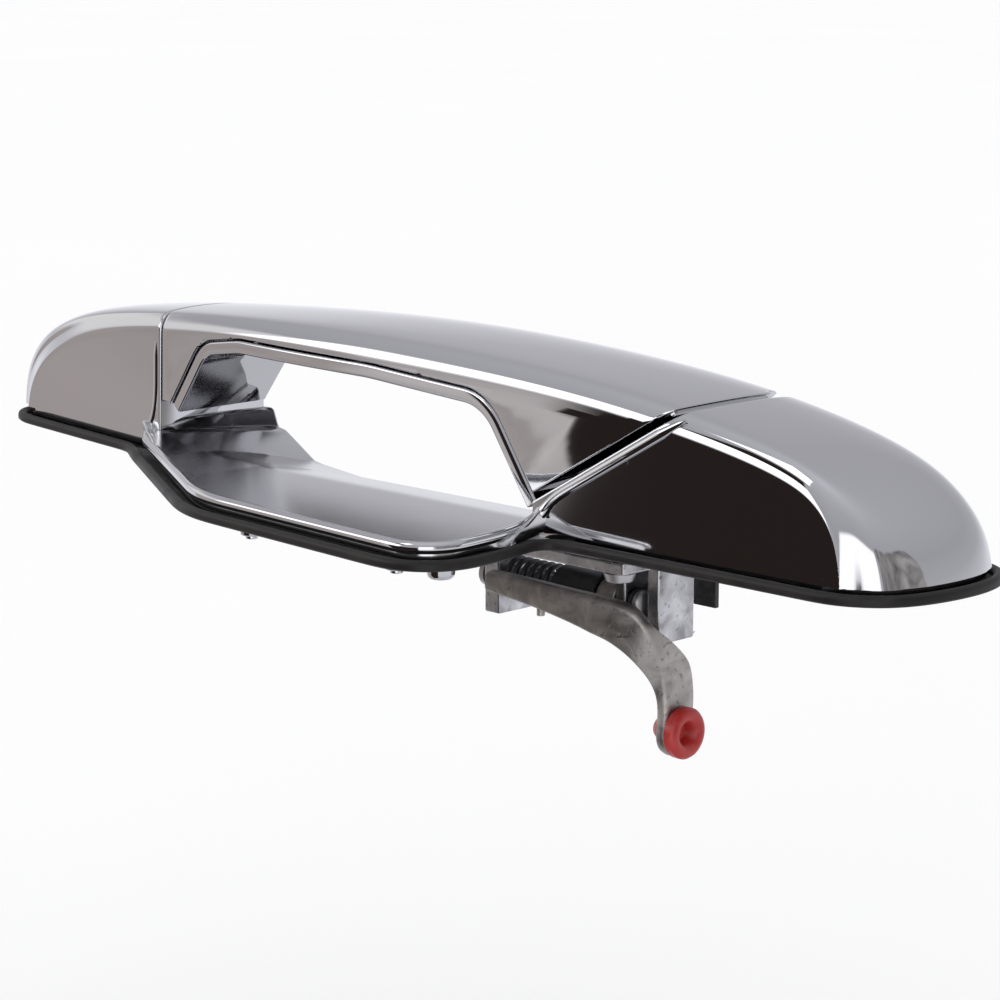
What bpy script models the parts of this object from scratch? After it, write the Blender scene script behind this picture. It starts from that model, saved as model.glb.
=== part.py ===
"""Outside car door handle: chrome housing, pull handle, gasket, bracket and bellcrank.

Frame: origin on the cast pad under the middle of the finger scoop. +Z points out of the
door, +X runs along the handle towards the bellcrank and -Y is the side that the fingers
enter from. Values are millimetres and are turned into metres by MM.
"""
import math

import bmesh
import bpy
from mathutils import Matrix, Vector

MM = 0.001

# Fits
GAP = 0.3                    # clear gap between pieces that seat on each other
PIN_FIT = 0.3                # radial clearance of a pin in its hole

# Body shape
WALL = 2.2                   # chrome shell thickness
HALF_LENGTH = 154.0          # middle of the body to the tip of a cap, at the base
WIDTH = 42.0                 # front face of the right cap to the far side
BODY_HEIGHT = 39.6           # top of the body over the door skin
FRONT_Y = 3.0                # front face of the right cap, at the base
FRONT_SKEW = 0.145           # how fast the left half of the front face runs back
DRAFT = 1.2                  # lean of the front face over its height
CREST_DROP = 2.6             # height of the chamfer band under the crest
CREST_STEP = 1.8             # width of that band
PART_LEFT_X = -78.6          # left parting plane, square to X
PART_RIGHT_X = 58.6          # right parting plane crosses PART_RIGHT_Z here
PART_RIGHT_Z = 9.3
PART_RIGHT_SLOPE = 0.575
PART_GAP_LEFT = 1.0
PART_GAP_RIGHT = 1.6
CAP_FOOT_LEFT = 3.6          # lowest edge of the left cap's wall
CAP_FOOT_RIGHT = 2.6
END_WALL = 2.4               # wall that closes a cap at its parting plane

# Scoop
FLOOR_TOP = 3.2
FLOOR_THICK = 2.4
FLOOR_FAR_Y = 38.0
FLOOR_FAR_DROP = 6.2         # the far edge of the floor lies this much lower
FLOOR_BEND_Y = 8.0           # the floor starts to drop here
BOWL_DEPTH = 37.0            # front corner of the bowl, in front of the right cap's face
LEDGE_LEFT_NEAR = 8.0
LEDGE_LEFT_FAR = 10.4
LEDGE_RIGHT = 7.2
BEAD_RADIUS = 1.6
BEAD_LIFT = 0.7
PAD_LENGTH = 32.0
PAD_WIDTH = 18.0
PAD_Y = -3.5

# Opening under the handle, as its lower edge runs in X and Z
LIP_THICK = 2.5
LIP_GROOVE = 0.5
LIP_SETBACK = 0.4
LINER_FAR_Y = 38.0

# Gasket
GASKET_WIDTH = 2.3
GASKET_TOP = 2.0
GASKET_BOTTOM = -0.3
GASKET_FLANGE = 0.8
GASKET_FLANGE_WIDTH = 6.0

# Handle hinge
HINGE_Y = 38.0
HINGE_Z = 16.0
HINGE_PIN_R = 2.0
ARM_THICK = 2.6
ARM_EYE_R = 5.0

# Bellcrank
CRANK_Y = 20.0
CRANK_Z = -14.0
CRANK_PIN_R = 2.4
HUB_R = 4.6
HUB_X0 = 64.0
HUB_X1 = 69.3
BAR_FRONT_Y = 9.6
BAR_THICK = 3.2
ROD_ARM_X0 = 80.4
ROD_ARM_THICK = 2.8
ROD_ARM_WIDTH = 8.0
ROD_HOLE_Y = 21.4
ROD_HOLE_Z = -40.4
ROD_HOLE_R = 2.6
CLIP_FLANGE_R = 5.6
CLIP_FLANGE_THICK = 3.0
SPRING_WIRE_R = 0.65
SPRING_COIL_R = 4.4
SPRING_PITCH = 2.3
SPRING_TURNS = 5.5

# Bracket
BRACKET_TOP = -2.4
BRACKET_THICK = 2.6
EAR_LEFT_X = 30.0
EAR_LEFT_THICK = 4.6
EAR_RIGHT_X = 69.6
EAR_RIGHT_THICK = 2.6
BLOCK_X0 = 76.4
BLOCK_X1 = 79.7

# Travel
HANDLE_TRAVEL = 16.0         # degrees
CRANK_RATIO = 1.7            # bellcrank degrees for each degree of the handle
CONTACT_CLEAR = 1.1          # play between the drive finger and the bellcrank's lug

# Screws, inserts and pegs
SCREW_R = 2.0
SCREW_HEAD_R = 3.6
SCREW_HEAD_THICK = 2.0
SCREW_BITE = 2.6             # a screw's shank runs this far into what it holds
BRACKET_SCREWS = ((38.0, 12.0), (75.0, 11.5))
HANDLE_SCREWS = ((-66.0, 26.0), (50.0, 26.0))
BRACKET_BOSS_R = 4.4
COVER_BOSS_R = 4.0
INSERT_R = 4.2
INSERT_BORE_R = 2.6
INSERT_LENGTH = 10.0
INSERT_POST_WALL = 2.4
INSERTS = ((-118.0, 30.0), (112.0, 26.0))
PEG_R = 2.6
PEG_LENGTH = 5.0
PEGS = ((-10.0, -17.5), (39.0, -19.0))
WASHER_THICK = 0.8
PIN_HEAD_R = 3.3
PIN_HEAD_THICK = 1.6

# Handle arms and the drive between the handle and the bellcrank
TAB_THICK = 1.2
ROOF_CLEAR = 0.5             # from the tops of the arms' tabs to the inside of the cover
HANDLE_BACK_Z = 21.0         # the cover's far wall ends here
FAR_RELIEF = 3.6             # extra gap at the cover's far right corner, which drops in use
SILL_X = 57.4                # the right cap stays to the right of this
DRIVE_X = SILL_X - 1.2       # left face of the right arm and its drive finger
DRIVE_WIDE = 3.4
DRIVE_GRIP = 2.0             # the finger and the lug overlap by this much either way
LUG_WIDE = 3.6
SLOT_SIDE = 1.2
SLOT_Y0 = 17.0
SLOT_Y1 = 41.0
SLOT_TOP = 11.5
LINK = Vector((HINGE_Y - CRANK_Y, HINGE_Z - CRANK_Z))
LINK_ANGLE = math.degrees(math.atan2(LINK.y, LINK.x))
CRANK_REACH = LINK.length / (1 + CRANK_RATIO)
DRIVE_REACH = LINK.length - CRANK_REACH

# Mesh densities, and how far helper solids reach past the part
SPAN_STEPS = 2
RIM_COUNT = 33
SCOOP_ROWS = 7
LEFT_SHARE = 0.28            # columns of the scoop that climb to the left ledge
RIGHT_SHARE = 0.1            # columns that climb to the right ledge
NEAR_Y = -80.0
FAR_Y = 80.0
LOW_Z = -40.0
HIGH_Z = 80.0
FAR_X = 200.0
SLANT = math.sqrt(1 + 1 / PART_RIGHT_SLOPE ** 2)

# Profiles of the body in X and Z, drawn for the span and rise below and stretched to size
PROFILE_SPAN = 154.0
PROFILE_RISE = 39.6
MIDDLE_PROFILE = (
    (-154.0, 0.0), (-154.0, 7.5), (-152.0, 15.5), (-146.0, 22.3), (-136.0, 27.5),
    (-120.0, 32.0), (-95.0, 35.2), (-60.0, 37.6), (-25.0, 39.2), (5.0, 39.6),
    (35.0, 38.7), (65.0, 36.6), (90.0, 33.8), (112.0, 29.8), (128.0, 25.6),
    (139.0, 20.8), (147.0, 14.5), (151.0, 8.0), (152.5, 0.0))
FRONT_PROFILE = (
    (-149.0, 0.0), (-149.0, 6.0), (-146.5, 13.0), (-140.0, 19.5), (-130.0, 24.6),
    (-116.0, 29.6), (-97.0, 33.3), (-60.0, 36.8), (-25.0, 38.0), (5.0, 37.7),
    (35.0, 37.0), (65.0, 35.4), (90.0, 32.8), (112.0, 29.3), (126.0, 26.0),
    (134.0, 22.5), (139.5, 16.5), (142.0, 9.0), (142.5, 0.0))
BACK_PROFILE = (
    (-148.0, 0.0), (-148.0, 6.5), (-145.5, 13.0), (-139.0, 19.0), (-129.0, 24.0),
    (-115.0, 28.5), (-92.0, 32.0), (-60.0, 34.0), (-25.0, 35.2), (5.0, 35.5),
    (35.0, 34.6), (65.0, 32.6), (88.0, 30.0), (108.0, 26.2), (122.0, 22.3),
    (132.0, 17.8), (138.5, 12.0), (142.0, 6.5), (143.0, 0.0))


# ---------------------------------------------------------------- helpers
def clear_scene():
    for item in list(bpy.data.objects):
        bpy.data.objects.remove(item, do_unlink=True)


def make_material(name, colour, roughness, metallic):
    """One Principled BSDF material."""
    material = bpy.data.materials.new(name)
    material.use_nodes = True
    shader = material.node_tree.nodes["Principled BSDF"]
    shader.inputs["Base Color"].default_value = (*colour, 1.0)
    shader.inputs["Roughness"].default_value = roughness
    shader.inputs["Metallic"].default_value = metallic
    material.diffuse_color = (*colour, 1.0)
    return material


def finish(bm, name, material=None, smooth=False):
    """Turn a millimetre bmesh into a linked object in metres."""
    bmesh.ops.remove_doubles(bm, verts=bm.verts, dist=0.001)
    bmesh.ops.recalc_face_normals(bm, faces=bm.faces)
    bmesh.ops.scale(bm, verts=bm.verts, vec=(MM, MM, MM))
    mesh = bpy.data.meshes.new(name)
    bm.to_mesh(mesh)
    bm.free()
    obj = bpy.data.objects.new(name, mesh)
    bpy.context.scene.collection.objects.link(obj)
    if material is not None:
        mesh.materials.append(material)
    if smooth:
        mesh.shade_smooth()
        mesh.set_sharp_from_angle(angle=math.radians(35))
    return obj


def set_origin(obj, x, y, z):
    """Move an object's origin to a point and leave its shape where it is."""
    point = Vector((x, y, z)) * MM
    obj.data.transform(Matrix.Translation(-point))
    obj.location = point


def combine(obj, helper, operation):
    """Boolean a hidden helper object into or out of an object."""
    modifier = obj.modifiers.new(operation.title(), "BOOLEAN")
    modifier.operation = operation
    modifier.solver = "MANIFOLD"
    modifier.object = helper
    helper.hide_render = True
    helper.display_type = "WIRE"


def cut(obj, *helpers):
    for helper in helpers:
        combine(obj, helper, "DIFFERENCE")


def join(obj, *helpers):
    for helper in helpers:
        combine(obj, helper, "UNION")


def add_box(bm, x0, x1, y0, y1, z0, z1):
    centre = Vector(((x0 + x1) / 2, (y0 + y1) / 2, (z0 + z1) / 2))
    size = Matrix.Diagonal((x1 - x0, y1 - y0, z1 - z0, 1.0))
    bmesh.ops.create_cube(bm, size=1.0, matrix=Matrix.Translation(centre) @ size)


def box(name, x0, x1, y0, y1, z0, z1, material=None):
    bm = bmesh.new()
    add_box(bm, x0, x1, y0, y1, z0, z1)
    return finish(bm, name, material)


def add_rod(bm, start, end, radius, radius_end=None, segments=20):
    """A capped cylinder or cone between two points."""
    start, end = Vector(start), Vector(end)
    along = end - start
    turn = Vector((0, 0, 1)).rotation_difference(along).to_matrix().to_4x4()
    place = Matrix.Translation((start + end) / 2) @ turn
    bmesh.ops.create_cone(
        bm, cap_ends=True, segments=segments, radius1=radius,
        radius2=radius if radius_end is None else radius_end,
        depth=along.length, matrix=place)


def rod(name, start, end, radius, material=None, segments=20):
    bm = bmesh.new()
    add_rod(bm, start, end, radius, segments=segments)
    return finish(bm, name, material, smooth=True)


def ring_x(name, x0, x1, y, z, inner, outer, material, segments=24):
    """A washer or sleeve whose axis runs along X."""
    bm = bmesh.new()
    section = ((x0, inner), (x0, outer), (x1, outer), (x1, inner))
    rings = []
    for step in range(segments):
        angle = 2 * math.pi * step / segments
        rings.append([bm.verts.new((sx, y + sr * math.cos(angle), z + sr * math.sin(angle)))
                      for sx, sr in section])
    bridge_rings(bm, rings, close_rings=True, close_path=True)
    return finish(bm, name, material, smooth=True)


def bridge_rings(bm, rings, close_rings, close_path=False):
    """Quads between neighbouring rings of vertices."""
    count = len(rings[0])
    last = count if close_rings else count - 1
    pairs = list(zip(rings, rings[1:]))
    if close_path:
        pairs.append((rings[-1], rings[0]))
    for first, second in pairs:
        for index in range(last):
            after = (index + 1) % count
            bm.faces.new((first[index], first[after], second[after], second[index]))


def loft(name, rings, material=None, smooth=False):
    """A closed solid through closed rings of points, capped at both ends."""
    bm = bmesh.new()
    vert_rings = [[bm.verts.new(point) for point in ring] for ring in rings]
    bridge_rings(bm, vert_rings, close_rings=True)
    bm.faces.new(list(reversed(vert_rings[0])))
    bm.faces.new(vert_rings[-1])
    return finish(bm, name, material, smooth)


def plate_x(name, outline, x0, x1, material=None):
    """A flat plate square to X from an outline of (y, z) points."""
    return loft(name, [[(x, y, z) for y, z in outline] for x in (x0, x1)], material)


def fillet(points, radii, segments=5):
    """Round the inner corners of a 2D polyline."""
    result = [Vector(points[0])]
    for before, corner, after, radius in zip(points, points[1:], points[2:], radii):
        corner = Vector(corner)
        to_before = (Vector(before) - corner).normalized()
        to_after = (Vector(after) - corner).normalized()
        half = to_before.angle(to_after) / 2
        reach = radius / math.tan(half)
        centre = corner + (to_before + to_after).normalized() * radius / math.sin(half)
        start = corner + to_before * reach - centre
        end = corner + to_after * reach - centre
        turn = start.angle_signed(end)
        for step in range(segments + 1):
            arm = start.copy()
            arm.rotate(Matrix.Rotation(-turn * step / segments, 2))
            result.append(centre + arm)
    result.append(Vector(points[-1]))
    return result


def offset_line(points, distance):
    """Shift an open 2D polyline to its left by a distance, with mitred corners."""
    result = []
    for index, point in enumerate(points):
        before = points[max(index - 1, 0)]
        after = points[min(index + 1, len(points) - 1)]
        first = (point - before) if index else (after - point)
        second = (after - point) if index < len(points) - 1 else (point - before)
        n1 = Vector((-first.y, first.x)).normalized()
        n2 = Vector((-second.y, second.x)).normalized()
        mitre = (n1 + n2).normalized()
        result.append(point + mitre * distance / max(mitre.dot(n1), 0.3))
    return result


def smooth_curve(points, steps):
    """A Catmull-Rom curve through 2D points, with the same steps in every span."""
    padded = [points[0], *points, points[-1]]
    result = []
    for index in range(len(points) - 1):
        p0, p1, p2, p3 = (Vector(p) for p in padded[index:index + 4])
        for step in range(steps):
            t = step / steps
            result.append(0.5 * (2 * p1 + (p2 - p0) * t + (2 * p0 - 5 * p1 + 4 * p2 - p3) * t ** 2
                                 + (3 * p1 - p0 - 3 * p2 + p3) * t ** 3))
    result.append(Vector(points[-1]))
    return result


# ---------------------------------------------------------------- body surface
def roof_height(x):
    """Height of the body's top line at a point along it."""
    line = scaled(MIDDLE_PROFILE)
    for before, after in zip(line, line[1:]):
        if before.x <= x <= after.x and after.x > before.x:
            return before.lerp(after, (x - before.x) / (after.x - before.x)).y
    return 0.0


def front_y(x):
    """Y of the front face at the base: flat on the right, running back to the left."""
    soft = 16.0
    return FRONT_Y + FRONT_SKEW * soft * math.log(1 + math.exp((-25.0 - x) / soft))


def scaled(profile):
    return [Vector((x * HALF_LENGTH / PROFILE_SPAN, z * BODY_HEIGHT / PROFILE_RISE))
            for x, z in profile]


def body_rings(inset=0.0, base_z=0.0):
    """Rings of the body's surface, from the left tip to the right tip.

    Each ring runs from the front base over the crest and the top to the far base. An inset
    gives the surface that lies this far inside the outer one, down to base_z.
    """
    profiles = []
    for profile in (FRONT_PROFILE, MIDDLE_PROFILE, BACK_PROFILE):
        line = offset_line(smooth_curve(scaled(profile), SPAN_STEPS), -inset)
        line[0].y = base_z
        line[-1].y = base_z
        profiles.append(line)
    front, middle, back = profiles
    low = offset_line(front, -CREST_DROP)
    low[0] = Vector((front[0].x + CREST_DROP, base_z))
    low[-1] = Vector((front[-1].x - CREST_DROP, base_z))
    back_y = FRONT_Y + WIDTH - inset
    middle_y = FRONT_Y + WIDTH * 0.6
    rings = []
    for f, l, m, b in zip(front, low, middle, back):
        base_y = front_y(l.x) + inset
        lean = DRAFT * max(l.y, 0.0) / BODY_HEIGHT
        ring = [(l.x, base_y, base_z), (l.x, base_y + lean, max(l.y, base_z)),
                (f.x, front_y(f.x) + inset + lean + CREST_STEP, f.y)]
        start_y = ring[-1][1]
        for part in (0.08, 0.25, 0.55, 1.0):
            rise = math.sqrt(1 - (1 - part) ** 2)
            point = f.lerp(m, rise)
            ring.append((point.x, start_y + (middle_y - start_y) * part, point.y))
        for part in (0.45, 0.75, 0.93):
            fall = 1 - math.sqrt(1 - part ** 2)
            point = m.lerp(b, fall)
            ring.append((point.x, middle_y + (back_y - middle_y) * part, point.y))
        ring.append((b.x, back_y, base_z + (b.y - base_z) * 0.93))
        ring.append((b.x, back_y, base_z))
        rings.append(ring)
    return rings


def body_solid(name, inset=0.0, base_z=0.0, material=None):
    """The body as one closed solid, flat at its base."""
    bm = bmesh.new()
    rings = [[bm.verts.new(point) for point in ring] for ring in body_rings(inset, base_z)]
    bridge_rings(bm, rings, close_rings=True)
    bm.faces.new(list(reversed(rings[0])))
    bm.faces.new(rings[-1])
    return finish(bm, name, material, smooth=True)


def body_shell(name, material=None):
    """The body as a shell of even wall, open at the door skin."""
    shell = body_solid(name, material=material)
    cut(shell, body_solid(name + "_hollow", WALL, -8.0))
    return shell


def part_right_x(z):
    """X of the slanted parting plane at a height."""
    return PART_RIGHT_X + (z - PART_RIGHT_Z) / PART_RIGHT_SLOPE


TAB_TOP = roof_height(PART_LEFT_X) - WALL - ROOF_CLEAR


def prism_y(name, outline, y0, y1):
    """An XZ outline carried along Y."""
    return loft(name, [[(x, y, z) for x, z in outline] for y in (y0, y1)])


def handle_zone(name, left_gap, right_gap):
    """The space between the parting planes, drawn in by a gap on each side."""
    left = PART_LEFT_X + left_gap
    shift = right_gap * SLANT
    corner_z = PART_RIGHT_Z + (SILL_X - PART_RIGHT_X) * PART_RIGHT_SLOPE
    outline = [(left, LOW_Z), (SILL_X - shift, LOW_Z), (SILL_X - shift, corner_z),
               (part_right_x(HIGH_Z) - shift, HIGH_Z), (left, HIGH_Z)]
    return prism_y(name, outline, NEAR_Y, FAR_Y)


def end_wall(name, zone_gap):
    """The wall that closes one cap: the body between two copies of a parting plane."""
    wall = body_solid(name)
    inset = GASKET_BOTTOM + GASKET_FLANGE + GAP
    left = PART_LEFT_X - zone_gap
    if name.endswith("left"):
        outline = [(left - END_WALL, inset), (left, inset), (left, HIGH_Z),
                   (left - END_WALL, HIGH_Z)]
    else:
        corner_z = PART_RIGHT_Z + (SILL_X - PART_RIGHT_X) * PART_RIGHT_SLOPE
        thick = END_WALL * SLANT
        outline = [(SILL_X, inset), (SILL_X + END_WALL, inset),
                   (SILL_X + thick, corner_z), (part_right_x(HIGH_Z) + thick, HIGH_Z),
                   (part_right_x(HIGH_Z), HIGH_Z), (SILL_X, corner_z)]
    combine(wall, prism_y(name + "_slab", outline, NEAR_Y, FAR_Y), "INTERSECT")
    return wall


# ---------------------------------------------------------------- scoop
def rim_line():
    """Plan of the bowl's front rim, from the left cap round to the right cap."""
    deep_y = FRONT_Y - BOWL_DEPTH
    left = Vector((PART_LEFT_X - 8.4, front_y(PART_LEFT_X - 8.4)))
    corners = [left, (-16.0, deep_y + 6.0), (64.6, deep_y - 0.4), (62.4, deep_y + 22.0),
               (SILL_X + 0.8, FRONT_Y + 0.6)]
    return fillet([Vector(p) for p in corners], (44.0, 9.0, 14.0), segments=6)


def floor_top(y):
    """Height of the flat part of the floor, which drops towards its far edge."""
    if y <= FLOOR_BEND_Y:
        return FLOOR_TOP
    share = (y - FLOOR_BEND_Y) / (FLOOR_FAR_Y - FLOOR_BEND_Y)
    return FLOOR_TOP - FLOOR_FAR_DROP * share ** 1.3


def resample(points, count):
    """Evenly spaced points along an open 2D line, its ends included."""
    lengths = [0.0]
    for before, after in zip(points, points[1:]):
        lengths.append(lengths[-1] + (after - before).length)
    result = []
    span = 0
    for step in range(count):
        want = lengths[-1] * step / (count - 1)
        while span < len(points) - 2 and lengths[span + 1] < want:
            span += 1
        share = (want - lengths[span]) / (lengths[span + 1] - lengths[span])
        result.append(points[span].lerp(points[span + 1], share))
    return result


def scoop_height(share, y, row):
    base = floor_top(y)
    if share < LEFT_SHARE:
        climb = (1 - share / LEFT_SHARE) ** 2
        ledge = LEDGE_LEFT_NEAR + (LEDGE_LEFT_FAR - LEDGE_LEFT_NEAR) * row
        return base + (ledge - base) * climb
    if share > 1 - RIGHT_SHARE:
        climb = ((share - 1 + RIGHT_SHARE) / RIGHT_SHARE) ** 2
        return base + (LEDGE_RIGHT - base) * climb
    return base


def scoop_grid():
    """Top surface of the scoop: rows from the rim to the far edge."""
    rim = resample(rim_line(), RIM_COUNT)
    far_left = Vector((PART_LEFT_X + 8.6, FLOOR_FAR_Y))
    far_right = Vector((SILL_X + 0.8, FLOOR_FAR_Y))
    rows = []
    for row in range(SCOOP_ROWS):
        part = row / (SCOOP_ROWS - 1)
        line = []
        for index, near in enumerate(rim):
            share = index / (RIM_COUNT - 1)
            place = near.lerp(far_left.lerp(far_right, share), part)
            line.append((place.x, place.y, scoop_height(share, place.y, part)))
        rows.append(line)
    return rows


def scoop_shell(name):
    """The scoop as a plate of even height under its top surface."""
    rows = scoop_grid()
    bm = bmesh.new()
    top = [[bm.verts.new(p) for p in row] for row in rows]
    low = [[bm.verts.new((x, y, z - FLOOR_THICK)) for x, y, z in row] for row in rows]
    bridge_rings(bm, top, close_rings=False)
    bridge_rings(bm, [list(reversed(row)) for row in low], close_rings=False)
    edge_top = top[0] + [row[-1] for row in top[1:]] + top[-1][-2::-1] + [row[0] for row in top[-2:0:-1]]
    edge_low = low[0] + [row[-1] for row in low[1:]] + low[-1][-2::-1] + [row[0] for row in low[-2:0:-1]]
    bridge_rings(bm, [edge_top, edge_low], close_rings=True)
    return finish(bm, name)


def sweep(name, path, section, up_axis=(0, 0, 1), material=None, smooth=False):
    """Carry a closed section along a 3D path; the section is (outward, up) pairs."""
    up = Vector(up_axis)
    points = [Vector(p) for p in path]
    rings = []
    for index, point in enumerate(points):
        before = points[max(index - 1, 0)]
        after = points[min(index + 1, len(points) - 1)]
        along = ((point - before).normalized() + (after - point).normalized()).normalized()
        side = along.cross(up).normalized()
        lift = side.cross(along).normalized()
        rings.append([point + side * s + lift * u for s, u in section])
    return loft(name, rings, material, smooth)


def circle_section(radius, count=8):
    return [(radius * math.cos(2 * math.pi * k / count), radius * math.sin(2 * math.pi * k / count))
            for k in range(count)]


def bead_path():
    """Centre of the chrome bead: down the left parting, round the rim, up the right one."""
    rim = [(p.x, p.y, FLOOR_TOP + BEAD_LIFT) for p in resample(rim_line(), RIM_COUNT)]
    high = BODY_HEIGHT * 0.8
    left_x = PART_LEFT_X - BEAD_RADIUS - 0.2
    left_y = front_y(left_x) + 1.0
    lean = DRAFT / BODY_HEIGHT
    left = [(left_x, left_y + lean * high, high), (left_x, left_y + lean * 14.0, 14.0),
            (left_x - 1.2, left_y + 0.2, 8.4), (left_x - 4.0, left_y + 0.4, 5.4)]
    shift = (BEAD_RADIUS + 0.2) * SLANT
    low_z = 10.0
    right = [(part_right_x(z) + shift, FRONT_Y + 0.6 + lean * z, z)
             for z in (low_z, BODY_HEIGHT * 0.77)]
    return left + rim[1:-1] + [(SILL_X + 2.2, FRONT_Y + 0.2, 5.6)] + right


def base_outline(side):
    """Plan of one cap at its base, from its parting plane round its tip to the far side."""
    rings = body_rings()
    if side == "left":
        kept = [ring for ring in rings if ring[0][0] < PART_LEFT_X - END_WALL]
        tip = kept[0]
        front = [Vector(ring[0][:2]) for ring in reversed(kept)]
        back = [Vector(ring[-1][:2]) for ring in kept]
        start = Vector((PART_LEFT_X - 1.0, front_y(PART_LEFT_X - 1.0)))
        stop = Vector((PART_LEFT_X - 1.0, FRONT_Y + WIDTH))
    else:
        kept = [ring for ring in rings if ring[0][0] > SILL_X + END_WALL + 3.0]
        tip = kept[-1]
        front = [Vector(ring[0][:2]) for ring in kept]
        back = [Vector(ring[-1][:2]) for ring in reversed(kept)]
        start = Vector((SILL_X + 1.0, FRONT_Y))
        stop = Vector((SILL_X + 1.0, FRONT_Y + WIDTH))
    round_tip = [Vector(point[:2]) for point in tip[1:-1]]
    line = [start, *front, *round_tip, *back, stop]
    clean = [line[0]]
    for point in line[1:]:
        if (point - clean[-1]).length > 1.2:
            clean.append(point)
    return clean


def cap_foot(name, side, top_z):
    """The flange inside a cap's lower edge that stands on the gasket."""
    outline = base_outline(side)
    inward = 1.0 if side == "right" else -1.0
    path = offset_line(outline, inward * 4.2)
    half = 3.0
    foot_z = GASKET_BOTTOM + GASKET_FLANGE + GAP
    section = [(-half, 0.0), (half, 0.0), (half, top_z - foot_z), (-half, top_z - foot_z)]
    return sweep(name, [(p.x, p.y, foot_z) for p in path], section)


# ---------------------------------------------------------------- housing
def mounting_post(name, x, y, top_z):
    """A cast post that holds a threaded insert, tied to the cap's roof."""
    bm = bmesh.new()
    add_rod(bm, (x, y, GASKET_TOP - 1.0), (x, y, top_z), INSERT_R + INSERT_POST_WALL, segments=16)
    return finish(bm, name)


def make_housing(chrome):
    housing = body_shell("housing", chrome)
    cut(housing, handle_zone("cut_zone", 0.0, 0.0),
        box("cut_low_left", -FAR_X, PART_LEFT_X, NEAR_Y, FAR_Y, LOW_Z, CAP_FOOT_LEFT),
        box("cut_low_right", 0.0, FAR_X, NEAR_Y, FAR_Y, LOW_Z, CAP_FOOT_RIGHT))
    join(housing, end_wall("end_wall_left", 0.0), end_wall("end_wall_right", 0.0),
         cap_foot("foot_left", "left", CAP_FOOT_LEFT + 1.4),
         cap_foot("foot_right", "right", CAP_FOOT_RIGHT + 1.4),
         scoop_shell("scoop"),
         box("pad", -PAD_LENGTH / 2, PAD_LENGTH / 2, PAD_Y - PAD_WIDTH / 2,
             PAD_Y + PAD_WIDTH / 2, 0.0, FLOOR_TOP - 1.0),
         sweep("bead", bead_path(), circle_section(BEAD_RADIUS)),
         box("sill_right", SILL_X + 0.2, SILL_X + 2.8, FRONT_Y - 3.8, FRONT_Y + 1.6, 1.0,
             LEDGE_RIGHT + 0.4))
    seat = GASKET_BOTTOM + GASKET_FLANGE + GAP
    cut(housing, box("under_left", -FAR_X, PART_LEFT_X + 0.2, NEAR_Y, FAR_Y, LOW_Z, seat),
        box("under_right", SILL_X + 1.4, FAR_X, FRONT_Y, FAR_Y, LOW_Z, seat))
    for index, (x, y) in enumerate(INSERTS):
        roof = BODY_HEIGHT * 0.72
        join(housing, mounting_post(f"post_{index}", x, y, roof))
        cut(housing, rod(f"post_bore_{index}", (x, y, -2.0),
                         (x, y, GASKET_TOP + INSERT_LENGTH), INSERT_R + GAP))
    for index, (x, y) in enumerate(PEGS):
        join(housing, rod(f"peg_{index}", (x, y, FLOOR_TOP - 1.5), (x, y, FLOOR_TOP - 1.5 - PEG_LENGTH),
                          PEG_R, segments=16))
    boss_low = BRACKET_TOP + GAP
    join(housing, box("right_web", SILL_X + 1.0, 86.0, FRONT_Y + 1.2, FRONT_Y + 16.0,
                      seat, CAP_FOOT_RIGHT + 1.0))
    for index, (x, y) in enumerate(BRACKET_SCREWS):
        join(housing, rod(f"boss_{index}", (x, y, boss_low), (x, y, FLOOR_TOP - 1.2),
                          BRACKET_BOSS_R, segments=16))
        cut(housing, rod(f"boss_bore_{index}", (x, y, LOW_Z), (x, y, FLOOR_TOP - 1.6),
                         SCREW_R + PIN_FIT, segments=12))
    cut(housing,
        rod("pin_bore_left", (PART_LEFT_X - 20, HINGE_Y, HINGE_Z), (PART_LEFT_X + 1, HINGE_Y, HINGE_Z),
            HINGE_PIN_R + PIN_FIT, segments=16),
        rod("pin_bore_right", (SILL_X - 2, HINGE_Y, HINGE_Z), (SILL_X + 40, HINGE_Y, HINGE_Z),
            HINGE_PIN_R + PIN_FIT, segments=16),
        box("finger_slot", DRIVE_X - SLOT_SIDE, DRIVE_X + ARM_THICK + SLOT_SIDE,
            SLOT_Y0, SLOT_Y1, LOW_Z, SLOT_TOP))
    return housing


# ---------------------------------------------------------------- handle
def lip_line(distance):
    """Lower edge of the handle round the finger opening, moved outward by a distance."""
    rise = BODY_HEIGHT / PROFILE_RISE
    corners = [Vector((-70.3, 11.9 * rise)), Vector((-53.4, 29.6 * rise)),
               Vector((40.8, 26.6 * rise)), Vector((55.2, 6.6 * rise))]
    line = fillet(corners, (5.0, 7.0), segments=4)
    return offset_line(line, distance)


def opening_prism(name, distance, y0, y1):
    line = lip_line(distance)
    outline = [(line[0].x, LOW_Z), *[(p.x, p.y) for p in line], (line[-1].x, LOW_Z)]
    return prism_y(name, outline, y0, y1)


def far_relief(name):
    """A wedge along the right parting plane, widest at the cover's far side."""
    rings = []
    for y, gap in ((HINGE_Y - 2.0, PART_GAP_RIGHT), (FRONT_Y + WIDTH + 1.0, FAR_RELIEF)):
        shift = gap * SLANT
        rings.append([(part_right_x(LOW_Z) - shift, y, LOW_Z), (FAR_X, y, LOW_Z), (FAR_X, y, HIGH_Z),
                      (part_right_x(HIGH_Z) - shift, y, HIGH_Z)])
    return loft(name, rings)


def arm_boss(name, x, y, low_z, high_z):
    return rod(name, (x, y, low_z), (x, y, high_z), COVER_BOSS_R, segments=16)


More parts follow.
